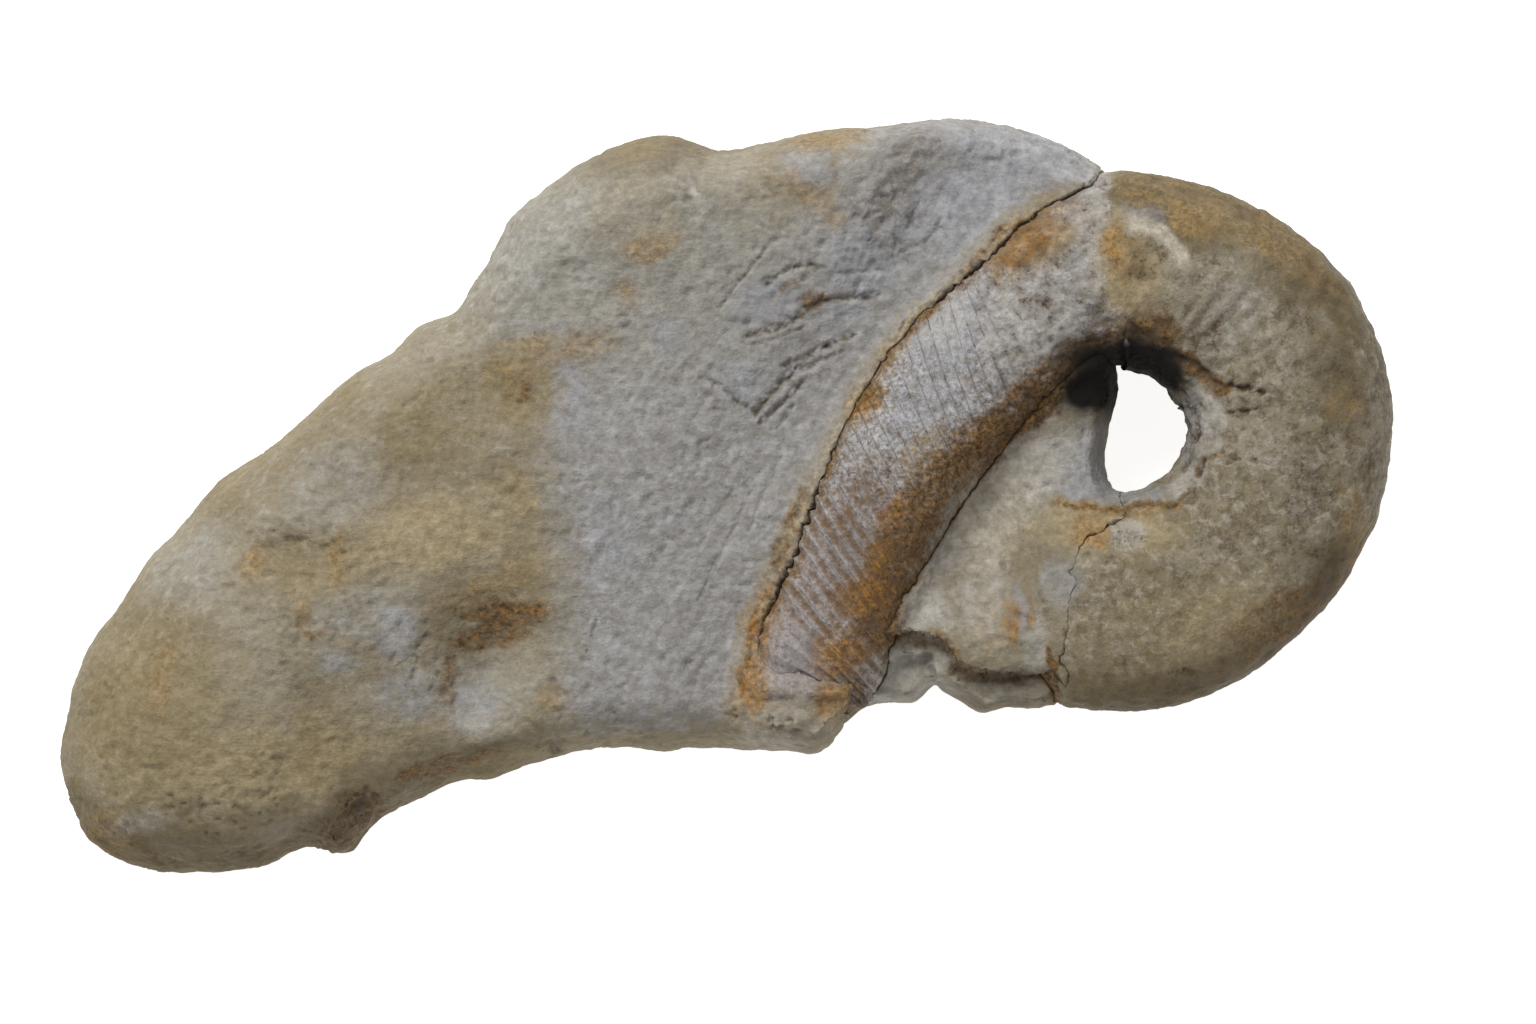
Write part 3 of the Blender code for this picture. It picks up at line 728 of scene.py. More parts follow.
# %% Tool marks and cracks, in mm seen from above
# Corners, half width, depth
TOOL_MARKS = (
    (((-0.9, 42.1), (2.5, 46.8), (5.4, 50.2), (9.5, 55.4)), 0.5, 0.6),
    (((9.9, 47.3), (12.4, 49.5), (15.8, 51.3), (19.8, 51.8), (22.6, 50.7)), 0.65, 0.7),
    (((5.4, 35.8), (10.6, 36.9), (15.1, 38.7), (18, 41), (22.1, 43.5), (28.9, 44.4),
      (33.5, 44.4)), 0.75, 0.9),
    (((4.8, 33.6), (9, 34.2), (13.4, 35.8), (17.6, 37.4)), 0.45, 0.5),
    (((13.5, 28.9), (18, 30.6), (20.9, 32.4), (25, 34), (29.4, 36.2)), 0.75, 0.8),
    (((17.5, 27.5), (22.5, 30.2), (27, 32.6)), 0.45, 0.45),
    (((7.1, 18), (10.6, 22.6), (13.5, 25.4), (16.9, 28.4), (19.8, 29.5)), 0.75, 0.9),
    (((8.3, 16.2), (12.3, 19.7), (15.8, 23.2), (18, 25.4)), 0.6, 0.8),
    (((11.2, 14.6), (14.6, 18), (15.8, 20.3)), 0.5, 0.6),
    (((-5.5, 26.5), (-0.9, 24.9), (2.5, 21.3), (7.1, 18.7)), 0.7, 0.6),
    (((26.6, 49.5), (31.3, 50.2), (35.8, 50.2)), 0.5, 0.45),
    (((38.5, 53.5), (41.6, 55.4), (45, 56.5), (49, 62.2)), 0.5, 0.5),
    (((27.6, 67.0), (30.3, 63.5), (33.0, 60.5)), 0.55, 0.5),
    (((33.5, 58.5), (35.8, 55.5), (37.6, 52)), 0.55, 0.5),
    (((45.5, 66.5), (43.0, 63.4), (42.1, 60.5)), 0.55, 0.5),
    (((31.5, 66.5), (34.5, 63.5), (36.5, 61.0)), 0.5, 0.45),
    (((36.5, 70.5), (39.0, 67.0), (40.0, 63.0)), 0.5, 0.45),
    (((38.2, 58.5), (40.0, 56.0), (41.5, 51.5)), 0.45, 0.4),
    (((8.1, 5.6), (2.5, -6.8), (-5.4, -23.6)), 0.6, 0.35),
    (((3.6, 3.4), (-0.9, -3.8), (-5.4, -11.2)), 0.5, 0.3),
    (((13, 9), (9, 1), (5.5, -8)), 0.6, 0.35),
)
CRACKS = (
    (((-73.3, -38.6), (-69.7, -36.8), (-67.5, -34), (-66.9, -31.7)), 0.35, 0.5),
    (((-30.8, -35), (-28.6, -28.1)), 0.35, 0.6),
    (((-103.3, -16.6), (-98, -17.6), (-92.0, -17.8)), 0.4, 0.6),
    (((35, -31.8), (44.5, -31.2), (49.7, -33.4), (53, -38.4)), 0.5, 0.8),
    (((53, -41.6), (60, -41.9), (66, -41.0), (73.5, -40.4)), 0.5, 0.9),
    (((51.0, -12.6), (57.5, -11.6), (61.5, -9)), 0.4, 0.3),
    (((83, 74.6), (79, 78.6)), 0.5, 0.5),
    (((10.4, -49.5), (10.9, -54.2)), 0.45, 0.35),
    (((12.9, -49.8), (13.3, -54.5)), 0.45, 0.35),
    (((15.3, -50.3), (15.7, -55)), 0.45, 0.35),
)
EDGE_ROWS = 15
EDGE_ROW_ANGLES = np.linspace(0, math.pi / 2, EDGE_ROWS + 1)[1:]
CROWN_STEP = 0.68
MARK_STEP = 0.36
HIDDEN_STEP = 3.0
UNDERSIDE_STEP = 2.3
HIDDEN_DEPTH = 2.5  # how far inside the shell's outline the wide grid starts
COVERED_ENDS = 13.0  # over this length at both ends, stone covers the shell and isn't hidden
HIDING_HEIGHT = 0.6 * CROWN_HEIGHT  # where the shell's outline is taken
# The least distance between two points of each kind
MARKS_APART = 0.7 * MARK_STEP
CROWN_APART = 0.62 * CROWN_STEP
UNDERSIDE_APART = 0.6 * UNDERSIDE_STEP
EDGE_ROWS_APART = 0.02
ROW_SHORTFALL = 0.93  # points of a row that the outline's bends bring nearer to it are left out
MARK_ROWS = (0, -0.45, 0.45, -1, 1, -1.7, 1.7)  # beside a mark's line, in half widths
CONTACT_ROWS = (-0.3, 0.05, 0.4, 0.75, 1.15)  # beyond the shaft's flank, in mm
CONTACT_START = 10  # along the shell, in mm


def tree_of(plan):
    found = KDTree(len(plan))
    for number, (x, y) in enumerate(plan):
        found.insert((x, y, 0), number)
    found.balance()
    return found


EDGE_TREE = tree_of(nodule_edge[:, :2])
SHELL_TREE = tree_of(shell_line[:, :2])


def from_edge(plan):
    """How far each point is from the nodule's outline, and how far in the stone rounds over there."""
    nearest = np.array([EDGE_TREE.find((x, y, 0))[1] for x, y in plan])
    count = len(nodule_edge)
    gap = np.full(len(plan), np.inf)
    for shift in (-1, 0):
        start = nodule_edge[(nearest + shift) % count, :2]
        span = nodule_edge[(nearest + shift + 1) % count, :2] - start
        share = np.clip(((plan - start) * span).sum(1) / (span**2).sum(1), 0, 1)
        gap = np.minimum(gap, np.linalg.norm(plan - start - share[:, None] * span, axis=1))
    return gap, nodule_edge[nearest, 2]


def from_shell(plan, height):
    """How far each point is from the shell's flank at this height, and on which side: 1 is left."""
    nearest = np.array([SHELL_TREE.find((x, y, 0))[1] for x, y in plan])
    x, y, middle, wide, tall = shell_line[nearest].T
    ahead = shell_line[np.minimum(nearest + 1, len(shell_line) - 1), :2]
    behind = shell_line[np.maximum(nearest - 1, 0), :2]
    forward = ahead - behind
    offset = plan - np.column_stack([x, y])
    side = np.sign(forward[:, 0] * offset[:, 1] - forward[:, 1] * offset[:, 0])
    level = np.clip(np.abs(height - middle) / tall, 0, 1)
    reach = wide * (1 - level**SQUARENESS) ** (1 / SQUARENESS)
    return np.linalg.norm(offset, axis=1) - reach, side, nearest * PATH_STEP


def grid_over(step):
    """A grid of equal triangles over the whole outline."""
    low, high = nodule_edge[:, :2].min(0), nodule_edge[:, :2].max(0)
    rows = []
    for row, y in enumerate(np.arange(low[1], high[1], step * math.sqrt(0.75))):
        x = np.arange(low[0], high[0], step) + (row % 2) * step / 2
        rows.append(np.column_stack([x, np.full(len(x), y)]))
    return np.vstack(rows)


def clear_of(plan, kept, least):
    """The points that are at least this far from every point kept."""
    kept_tree = tree_of(kept)
    far = np.array([kept_tree.find((x, y, 0))[2] for x, y in plan]) >= least
    return plan[far]


def edge_rows(rounding_share, step):
    """Rows of points just inside the outline, until they would be further apart than the grid."""
    forward = np.roll(nodule_edge[:, :2], -1, axis=0) - np.roll(nodule_edge[:, :2], 1, axis=0)
    inward = np.column_stack([forward[:, 1], -forward[:, 0]])
    inward /= np.linalg.norm(inward, axis=1)[:, None]
    rounding = nodule_edge[:, 2] * rounding_share
    points, last = nodule_edge[:, :2], np.zeros(len(nodule_edge))
    for angle in EDGE_ROW_ANGLES:
        reach = rounding * (1 - math.cos(angle))
        row = nodule_edge[:, :2] + inward * reach[:, None]
        close = reach - last < step
        row = row[close]
        gap, _ = from_edge(row)
        row = row[(gap > ROW_SHORTFALL * reach[close]) & is_inside(row, nodule_edge[:, :2])]
        if len(row):
            points = np.vstack([points, clear_of(row, points, EDGE_ROWS_APART)])
        last = reach
    return points


def sheet(points):
    """Triangles over the points; the first of them are the outline, in order."""
    count = len(nodule_edge)
    outline = [(i, (i + 1) % count) for i in range(count)]
    flat = [Vector(point) for point in points]
    made = delaunay_2d_cdt(flat, outline, [], 1, 1e-7)
    assert len(made[0]) == len(points), "two points fell together"
    return made[2]


def mark_points():
    """Fine rows of points along every tool mark and crack."""
    rows = []
    for corners, half_width, _ in TOOL_MARKS + CRACKS:
        line = spline([(*corner, 0) for corner in corners], MARK_STEP)[:, :2]
        line = 2 * line - as_seen(np.column_stack([line, np.full(len(line), CROWN_HEIGHT)]))
        side = np.gradient(line, axis=0)
        side = np.column_stack([side[:, 1], -side[:, 0]])
        side /= np.linalg.norm(side, axis=1)[:, None]
        for share in MARK_ROWS:
            row = line + side * share * half_width
            rows.append(row if not rows else clear_of(row, np.vstack(rows), MARKS_APART))
    return np.vstack(rows)


def contact_points():
    """Fine rows of points where the stone meets the shaft's two flanks."""
    shaft = shell_line[round(CONTACT_START / PATH_STEP):round(SHAFT_LENGTH / PATH_STEP)]
    centre, (middle, wide, tall) = shaft[:, :2], shaft[:, 2:].T
    side = np.gradient(centre, axis=0)[:, ::-1] * (-1, 1)
    side /= np.linalg.norm(side, axis=1)[:, None]
    rows = []
    for way in (1, -1):
        stone = CROWN_HEIGHT + mounds(centre + side * way * 0.9 * wide[:, None], CROWN)
        level = np.clip((stone - middle) / tall, 0, 0.95)
        reach = wide * (1 - level**SQUARENESS) ** (1 / SQUARENESS)
        for beyond in CONTACT_ROWS:
            row = centre + side * (way * (reach + beyond))[:, None]
            rows.append(row if not rows else clear_of(row, np.vstack(rows), MARKS_APART))
    return np.vstack(rows)


def crown_plan():
    points = edge_rows(1.0, CROWN_STEP)
    marks = mark_points()
    marks = np.vstack([marks, clear_of(contact_points(), marks, MARKS_APART)])
    gap, _ = from_edge(marks)
    marks = marks[is_inside(marks, nodule_edge[:, :2]) & (gap > CROWN_STEP)]
    points = np.vstack([points, clear_of(marks, points, MARKS_APART)])
    for step, hidden in ((CROWN_STEP, False), (HIDDEN_STEP, True)):
        grid = grid_over(step)
        grid = grid[is_inside(grid, nodule_edge[:, :2])]
        beside, _, place = from_shell(grid, np.full(len(grid), HIDING_HEIGHT))
        covered = (place < COVERED_ENDS) | (place > line_length - COVERED_ENDS)
        grid = grid[((beside < -HIDDEN_DEPTH) & ~covered) == hidden]
        points = np.vstack([points, clear_of(grid, points, CROWN_APART)])
    return points


crown = crown_plan()
print(f"{len(crown)} points on the crown")

# %% [markdown]
# ## Relief of the stone
#
# Three kinds of surface meet on this nodule. The old skin is smooth and softly pitted. The cut
# face is flatter, with the strokes of a chisel and a needle, most of them along the shell. The
# lower edge is a fresh break with ledges. The relief below is one height for each point, added
# to the pillow before it is cut.

# %% Pits and patches of the stone
# x, y, radius, depth of single pits
PITS = (
    (-81.5, -70.9, 2.2, 2.2), (-87.2, -76.8, 1.5, 1.2), (-8.3, -38.3, 1.0, 0.8),
    (-14.0, 18.0, 0.7, 0.7), (-38.0, -57.4, 1.9, 1.4), (-7.7, 67.1, 1.1, 0.9),
    (-93.2, 6.8, 0.7, 0.7), (-51.5, -3.2, 0.7, 0.6), (-53.3, 40.1, 0.8, 0.6),
    (-94.7, -28.2, 2.0, 0.7), (-95.6, -43.9, 1.8, 0.8), (-62.8, -44.3, 1.1, 0.9),
    (-60.6, -46.6, 0.9, 0.6), (-127.8, -62.3, 1.2, 0.5), (-100.0, -63.5, 1.4, 0.6),
    (-38.0, -43.0, 2.2, 0.6), (-104.0, -68.0, 1.6, 0.6), (-118.0, -70.5, 2.2, 0.5),
)
# Round the face that the preparator cut
CUT_FACE = (
    (-39.6, 27.7), (-27.9, 31.5), (-9.9, 37.1), (8.1, 55.1), (22, 66), (28.4, 76), (30, 90),
    (90, 90), (86.2, 72.5), (62.1, 59.6), (45, 30), (17.1, -1.1), (9, -34.9), (8, -46.1),
    (-7.7, -52.0), (-27.9, -52.0), (-36.9, -46.1), (-34.6, -14.6), (-38.5, 0),
)
ROUGH_PATCHES = (
    (38.0, 66.0, 7.5, 15.0, -18, 1.0), (44.0, 79.0, 9.0, 5.0, 0, 0.6), (12.0, 44.0, 11.0, 9.0, 40, 0.5),
    (62.0, -43.0, 13.0, 5.0, 0, 0.8), (64.0, -26.0, 6.0, 9.0, 0, 0.6),
    (-88.0, -74.0, 16.0, 8.0, 20, 0.8), (17.0, -52.0, 10.0, 6.0, 0, 0.5),
)
SHAFT_DIRECTION = math.radians(57)
STROKE_LENGTH = 9.0  # of the chisel's strokes, in widths
PITTED_DEPTH = 0.6
# How high stone clings to the shaft, to the hook's mouth and over the shaft's lower end
CLING_SHAFT, CLING_MOUTH, CLING_END = 1.3, 1.0, 1.9
RIDGE_HEIGHT, DIP_DEPTH = 0.35, 0.45
SUNK_BY = 0.7  # all of the crown, so that its relief stays inside the measured size


def along_shaft(points):
    """The points turned and squeezed, so that noise on them runs in strokes along the shaft."""
    c, s = math.cos(SHAFT_DIRECTION), math.sin(SHAFT_DIRECTION)
    u = points[:, 0] * c + points[:, 1] * s
    v = points[:, 1] * c - points[:, 0] * s
    return np.column_stack([u / STROKE_LENGTH, v, points[:, 2]])


def marks_height(plan, ragged):
    """What tool marks and cracks add to the height, seen from above: they come and go."""
    height = np.zeros(len(plan))
    for corners, half_width, depth in TOOL_MARKS + CRACKS:
        from_line = line_gap(plan, corners) + ragged * 0.6
        shape = np.exp(-(np.maximum(from_line, 0) / half_width) ** 2)
        lip = np.exp(-((from_line - 2.1 * half_width) / half_width) ** 2)
        height += depth * (0.25 * lip - shape) * np.clip(0.8 + 1.4 * ragged, 0.1, 1.5)
    return height


def pits_height(plan, ragged):
    """What single pits add to the height; none of them is round."""
    height = np.zeros(len(plan))
    for x, y, radius, depth in PITS:
        from_middle = np.hypot(plan[:, 0] - x, plan[:, 1] - y) * np.clip(1 + ragged, 0.5, 2)
        height -= depth * np.exp(-(from_middle / radius) ** 3)
    return height


def stone_relief(plan, upper):
    at = np.column_stack([plan, upper])
    seen = as_seen(at)
    gap, _ = from_edge(plan)
    inner = smooth_step(0, 3, gap)
    cut = smooth_step(-2.5, 2.5, inside_by(seen, CUT_FACE) + clouds(at, 9.0, 3, 11) * 3.0)
    rough = np.clip(mounds(seen, ROUGH_PATCHES), 0, 1)
    height = (clouds(at, 26.0, 3, 12) * 0.8 - 0.15) * inner * (1 - 0.5 * cut)
    height += clouds(at, 7.0, 4, 13) * (0.45 - 0.2 * cut)
    height += clouds(at, 2.4, 4, 14) * (0.24 - 0.04 * cut)
    height += clouds(along_shaft(at), 1.5, 3, 15) * 0.2 * cut
    height += clouds(at, 3.2, 4, 16) * 1.1 * rough
    # Small sharp pits, in loose swarms
    swarms = smooth_step(-0.2, 0.3, clouds(at, 14.0, 2, 18))
    height -= PITTED_DEPTH * (smooth_step(0.3, 0.5, clouds(at, 2.0, 2, 17)) * swarms)
    ragged = clouds(at, 1.9, 4, 19)
    height += marks_height(seen, ragged) + pits_height(seen, ragged)
    # Against the shell: stone clings to the flank in a thin ridge, and dips a little beyond it
    beside, _, place = from_shell(plan, upper)
    beside = beside + ragged * 0.5
    on_shaft = smooth_step(8, 20, place) * (1 - smooth_step(108, 122, place))
    cling = CLING_SHAFT * (1 - np.clip(beside / 1.7, 0, 1)) ** 1.5 * on_shaft
    cling += CLING_MOUTH * (1 - np.clip(beside / 2.4, 0, 1)) ** 1.5 * smooth_step(225, 240, place)
    over_the_end = (1 - smooth_step(-1, 6, beside)) * (1 - smooth_step(6, 14, place))
    cling += CLING_END * over_the_end * smooth_step(1, 8, gap)
    ridge = np.exp(-((beside - 0.8) / 0.9) ** 2) * on_shaft
    dip = np.exp(-((beside - 3.6) / 1.6) ** 2) * on_shaft
    height += cling + RIDGE_HEIGHT * ridge - DIP_DEPTH * dip
    return height - SUNK_BY - 0.25 * rough


def underside_plan():
    points = edge_rows(UNDERSIDE_ROUNDING, UNDERSIDE_STEP)
    grid = grid_over(UNDERSIDE_STEP)
    grid = grid[is_inside(grid, nodule_edge[:, :2])]
    return np.vstack([points, clear_of(grid, points, UNDERSIDE_APART)])


def nodule_mesh():
    gap, rounding = from_edge(crown)
    count = len(nodule_edge)
    gap[:count] = 0
    ragged = clouds(np.column_stack([crown, np.zeros(len(crown))]), 4.0, 4, 20)
    seen = as_seen(np.column_stack([crown, np.full(len(crown), CROWN_HEIGHT)]))
    top = CROWN_HEIGHT + mounds(seen, CROWN) - ledge_depth(seen, ragged * 1.2)
    share = rounded(gap / rounding)
    upper = EDGE_HEIGHT + (top - EDGE_HEIGHT) * share
    relief = stone_relief(crown, upper)
    below = underside_plan()
    gap_below, rounding_below = from_edge(below)
    gap_below[:count] = 0
    ground = np.maximum(0, mounds(below, UNDERSIDE_HOLLOWS) - LEVEL_SHARE)
    lower = EDGE_HEIGHT + (ground - EDGE_HEIGHT) * rounded(
        gap_below / (rounding_below * UNDERSIDE_ROUNDING))
    mesh = bmesh.new()
    top_verts = [mesh.verts.new((x * MM, y * MM, z * MM)) for (x, y), z in zip(crown, upper)]
    low_verts = top_verts[:count] + [
        mesh.verts.new((x * MM, y * MM, z * MM)) for (x, y), z in zip(below[count:], lower[count:])]
    for a, b, c in sheet(crown):
        mesh.faces.new((top_verts[a], top_verts[b], top_verts[c]))
    for a, b, c in sheet(below):
        mesh.faces.new((low_verts[c], low_verts[b], low_verts[a]))
    bmesh.ops.recalc_face_normals(mesh, faces=mesh.faces)
    data = bpy.data.meshes.new("limestone_nodule")
    mesh.to_mesh(data)
    mesh.free()
    # Flanks and underside get the coarse part of the relief, and the outline only moves inwards
    at = coordinates(data) / MM
    height = clouds(at, 9.0, 4, 21) * 0.5 - 0.45
    height += clouds(at, 2.6, 3, 22) * 0.15
    height[at[:, 2] < 0.4] = 0
    height[:len(crown)] = relief
    height[:count] = np.minimum(height[:count], -0.1)
    move_along_normals(data, np.where(at[:, 2] < EDGE_HEIGHT, np.minimum(height, -0.02), height))
    at = coordinates(data)
    at[:, 2] = np.maximum(at[:, 2], 0)
    data.vertices.foreach_set("co", at.astype(np.float32).ravel())
    data.update()
    return data


nodule = bpy.data.objects.new("limestone_nodule", nodule_mesh())
bpy.context.scene.collection.objects.link(nodule)
print(f"nodule: {len(nodule.data.vertices)} points before the trough is cut")

# %% [markdown]
# ## Cut the trough
#
# The preparator never empties the trough, but shell and stone are two bodies with a parting
# between them. A Boolean takes the swollen tube from the stone. Both meshes are closed, so the
# fast Manifold solver does it in a second.


# %% Take the swollen tube from the stone
def cut_from(piece, tool):
    cut = piece.modifiers.new("trough", "BOOLEAN")
    cut.operation = "DIFFERENCE"
    cut.solver = "MANIFOLD"
    cut.object = tool
    graph = bpy.context.evaluated_depsgraph_get()
    mesh = bpy.data.meshes.new_from_object(piece.evaluated_get(graph), depsgraph=graph)
    piece.modifiers.remove(cut)
    piece.data = mesh
    bpy.data.objects.remove(tool)


points_before = len(nodule.data.vertices)
cut_from(nodule, cutter)
print(f"nodule: {points_before} points before the cut and {len(nodule.data.vertices)} after")

# %% [markdown]
# ## Where the stains lie
#
# Iron from the mud has stained the fossil in patches: ochre, orange and brown. Nothing of that
# is relief, so it belongs in the material. But it isn't the same everywhere, and no pattern
# puts it in the right places. So each stain is a named spot or streak, painted into a mesh
# attribute as a soft mask. The material later breaks its edge up with noise, as damp does.
# Two kinds here are not stains alone. The dark patch on the hole's upper wall is painted shade, and umber
# is partly painted shade along the lower edges.

# %% Stains, in mm seen from above
# Spots: x, y, two radii, turn in degrees, strength
SPOTS = {
    "grey": (
        (-23, 50, 31, 20, 0, 1.0), (-123, -14, 9, 10, 40, 0.55), (-88, 2, 10, 8, 40, 0.5),
        (-82, -26, 12, 5, 10, 0.5), (-60, -47, 14, 9, 10, 0.5),
    ),
    # Umber: a dark khaki stain, and painted shade along the lower edges of the lobe and the hook
    "umber_and_painted_shade": (
        (-14, 79, 16, 4, 5, 0.5), (-81, -72, 10, 5, 30, 0.7), (125, -30, 14, 6, 35, 0.5),
        (-56, -60, 14, 3, 14, 0.6), (-120, -80, 18, 5, -8, 0.7), (64, -46, 12, 3, 0, 0.5),
        (127, 50, 10, 6, -40, 0.4), (138, 26, 5, 12, 20, 0.45), (92.5, 68.5, 5.5, 4, 20, 1.0),
        (103, 64, 12, 5, -22, 0.8), (-144, -50, 4, 12, -20, 0.4), (-18, 78, 14, 5.5, 10, 0.5),
    ),
    "blue": (
        (54, 66, 17, 7, 25, 0.9), (66, 77, 16, 4, -12, 0.7), (18, 74, 5, 4, 0, 0.7),
        (31.6, 53, 6, 6, 0, 0.9), (9.2, 43.7, 6, 4, 20, 0.8), (4, 25.3, 4, 4, 0, 0.7),
        (-12.8, 36.8, 4, 3, 0, 0.5), (-35, 22, 3.5, 8, 0, 0.55), (82, 5, 6, 8, -20, 1.0),
        (89, 0, 9, 2.6, 0, 0.8), (50, 38, 9, 8, 52, 0.75), (45, 22, 8, 5, 52, 0.5),
        (75.7, -19.6, 4, 4.5, 0, 0.6), (66.5, -26, 1.1, 4.6, 0, 1.0), (19.6, -38.3, 2.4, 3, 0, 0.8),
        (104.5, 15, 3, 7, 0, 0.7), (94.8, 62.7, 4.5, 2.2, -10, 0.7), (-57, -48, 5, 5, 0, 0.6),
        (-73.7, -31.3, 4.5, 5, 0, 0.7), (-87.7, -37, 3.5, 2.5, 0, 0.5), (-98.6, -51.8, 1.2, 3.5, 0, 0.5),
        (-72, -45.5, 5, 5, 0, 0.4), (-25, -10, 5, 9, 0, 0.4), (37, -40.5, 7, 3.5, 10, 0.7),
    ),
    "warm": (
        (-128, -53, 16, 20, -10, 1.0), (-104, -64, 26, 10, 10, 0.9), (-47, 24, 8, 7, 0, 0.9),
        (-19.5, 78, 6, 2.5, 20, 0.6), (-60, 20, 14, 7, 35, 0.7), (-94, -16, 12, 7, 0, 0.7),
        (-20, 62, 10, 8, 0, 0.4), (-46, -14, 4, 16, 0, 0.6), (45, -13.5, 3.5, 9, -25, 0.9),
        (62, 9, 7, 2.6, 40, 0.8), (-76, -58, 18, 5, 12, 0.8), (8, -54, 12, 3, 0, 0.8),
        (100, -30, 22, 9, 20, 0.5),
    ),
    "tan": (
        (91, 50, 6.5, 10, 12, 1.0), (86, -7.5, 13, 4.5, -6, 1.0), (112, 62, 6, 3, -30, 0.3),
        (-66, -9, 14, 7, 5, 0.9), (-52, -3, 10, 5, 20, 0.5), (-100, -58, 18, 8, 10, 0.5),
        (62, 12, 8, 3, 40, 0.6), (61, -28, 5, 6, 0, 0.6), (20, -50, 8, 3, 0, 0.5),
        (112, -30, 14, 6, 30, 0.5),
    ),
    "ochre": (
        (69.5, 57.5, 9.5, 5, 42, 1.0), (31.8, 20.8, 4.5, 3.2, 50, 0.9), (37.6, 32.3, 6, 2.4, 50, 0.7),
        (89, 54, 4, 6, 12, 0.8), (81.5, -7.8, 4, 3.4, 0, 0.6), (105, 62.5, 6, 3, -25, 0.9),
        (127.5, 54, 9, 3, -38, 0.6), (-105.5, -15, 2.6, 3, 0, 0.7), (-87, -14.5, 2.0, 4.5, -10, 0.7),
        (-16.3, 55.8, 5, 3, 20, 0.6), (-21.8, 45.7, 3, 2.5, 0, 0.45), (-37, 33.7, 11, 2, 3, 0.6),
        (23.6, 80.3, 8, 2, 5, 0.7), (-139, -76.5, 4, 4, -50, 0.5), (-94.3, -27.6, 1.8, 3, 0, 0.6),
        (-39.4, -45.5, 2.5, 3, 0, 0.6), (59, -29.3, 2.2, 4, 0, 0.7), (57.2, -15.8, 1.7, 1.4, 0, 0.8),
        (142, -9, 3, 9, 10, 0.6), (140, 21, 3, 4, 0, 0.5), (-52, -20, 12, 2.5, 20, 0.45),
        (26, -28, 5, 9, -20, 0.6), (20, -24, 3, 6, -30, 0.5), (36, -12, 5, 8, -30, 0.7),
        (-126, -42, 3, 7, -10, 0.45), (45, 10, 6, 3, 50, 0.6),
    ),
    "lilac": (
        (24, -18, 8, 14, -24, 1.0), (17, -35, 7, 10, -10, 1.0), (66.5, -26, 1.0, 4.4, 0, 0.5),
        (80.5, 63.5, 4.5, 2, 10, 0.6),
    ),
    "pale": (
        (-6.8, 67.8, 0.9, 0.9, 0, 1.0), (-57, -50, 4, 4.5, 10, 0.35), (-74, -31.5, 3, 4.5, 0, 0.3),
        (84, 67, 2.4, 6, 0, 0.7), (55, -6, 4.5, 14, -32, 1.0), (43, -26, 7, 6, 0, 0.9),
        (66, 4, 13, 6, 40, 1.0), (58, -22, 5, 10, 0, 0.7), (-131, -74, 6, 2.2, 10, 0.4),
        (70, 40, 12, 8, 45, 0.8), (82, 52, 3, 8, 0, 0.6), (12, -53, 9, 4, 0, 0.5),
        (70, -36, 2, 8, 0, 0.7), (41, -42, 9, 6, 0, 1.0), (62, -43, 9, 3, 0, 0.5),
        (109, 19, 3.0, 8, 0, 0.75), (104, 3, 4, 1.8, 30, 0.6), (50, 40, 6, 5, 52, 0.6),
        (90.5, -9, 3.2, 3.0, 0, 1.0), (114, 40, 5, 8, -30, 0.5),
    ),
    "cream": (
        (41, -41, 7, 3, 0, 0.5), (60, -4, 7, 10, -32, 0.7),
    ),
    "orange": (
        (31.8, -23.2, 5.5, 3.4, 10, 1.0), (26.3, -36.4, 5.0, 3.8, 30, 1.0), (24.2, -46.0, 3, 3.4, 0, 0.6),
        (83, -9, 3.4, 2.4, 0, 0.5), (67.5, 56.5, 6, 3.4, 42, 0.6), (64.5, -28.8, 1.3, 4.5, 0, 0.6),
        (68.6, -26.5, 1.0, 2.6, 0, 0.5), (31, 20.5, 3, 2, 50, 0.6), (38, -4, 4, 2, 50, 0.7),
        (35, -14, 2.4, 4, -30, 0.8), (87.5, 56, 2.4, 4, 12, 0.4),
    ),
    "brown": (
        (-49, -26.5, 8, 2.2, 0, 0.95), (-53.5, -32, 7.5, 2.4, 15, 0.75), (-62, -41, 1.5, 6, -8, 0.5),
        (-81.5, -70.5, 5, 3.5, 0, 0.75), (-88, -76, 7, 3, 0, 0.65), (-63, -61, 10, 2, 15, 0.6),
        (33, 21.5, 3, 2.4, 50, 0.6), (20.5, 43.6, 2, 1.6, 0, 0.8), (14, -11.3, 5.5, 2.2, 65, 0.8),
        (70, 55.5, 5, 2, 42, 0.5), (-46, 23.6, 2.5, 2.2, 0, 0.5), (125, -28, 13, 5, 35, 0.5),
        (47, 2, 6, 3, 50, 0.8), (29, -46, 3, 5, 0, 0.6), (62, -15, 0.8, 0.8, 0, 0.6),
        (-92.6, -31.5, 2, 1.4, 0, 0.5), (34, 3, 6, 4, 55, 0.4), (26, -6, 4, 3, 55, 0.4),
    ),
    # Painted shade on the hole's upper wall, under the shell's overhang
    "painted_hole_shade": (
        (85.5, 26, 6.8, 5.4, -50, 1.0),
    ),
}
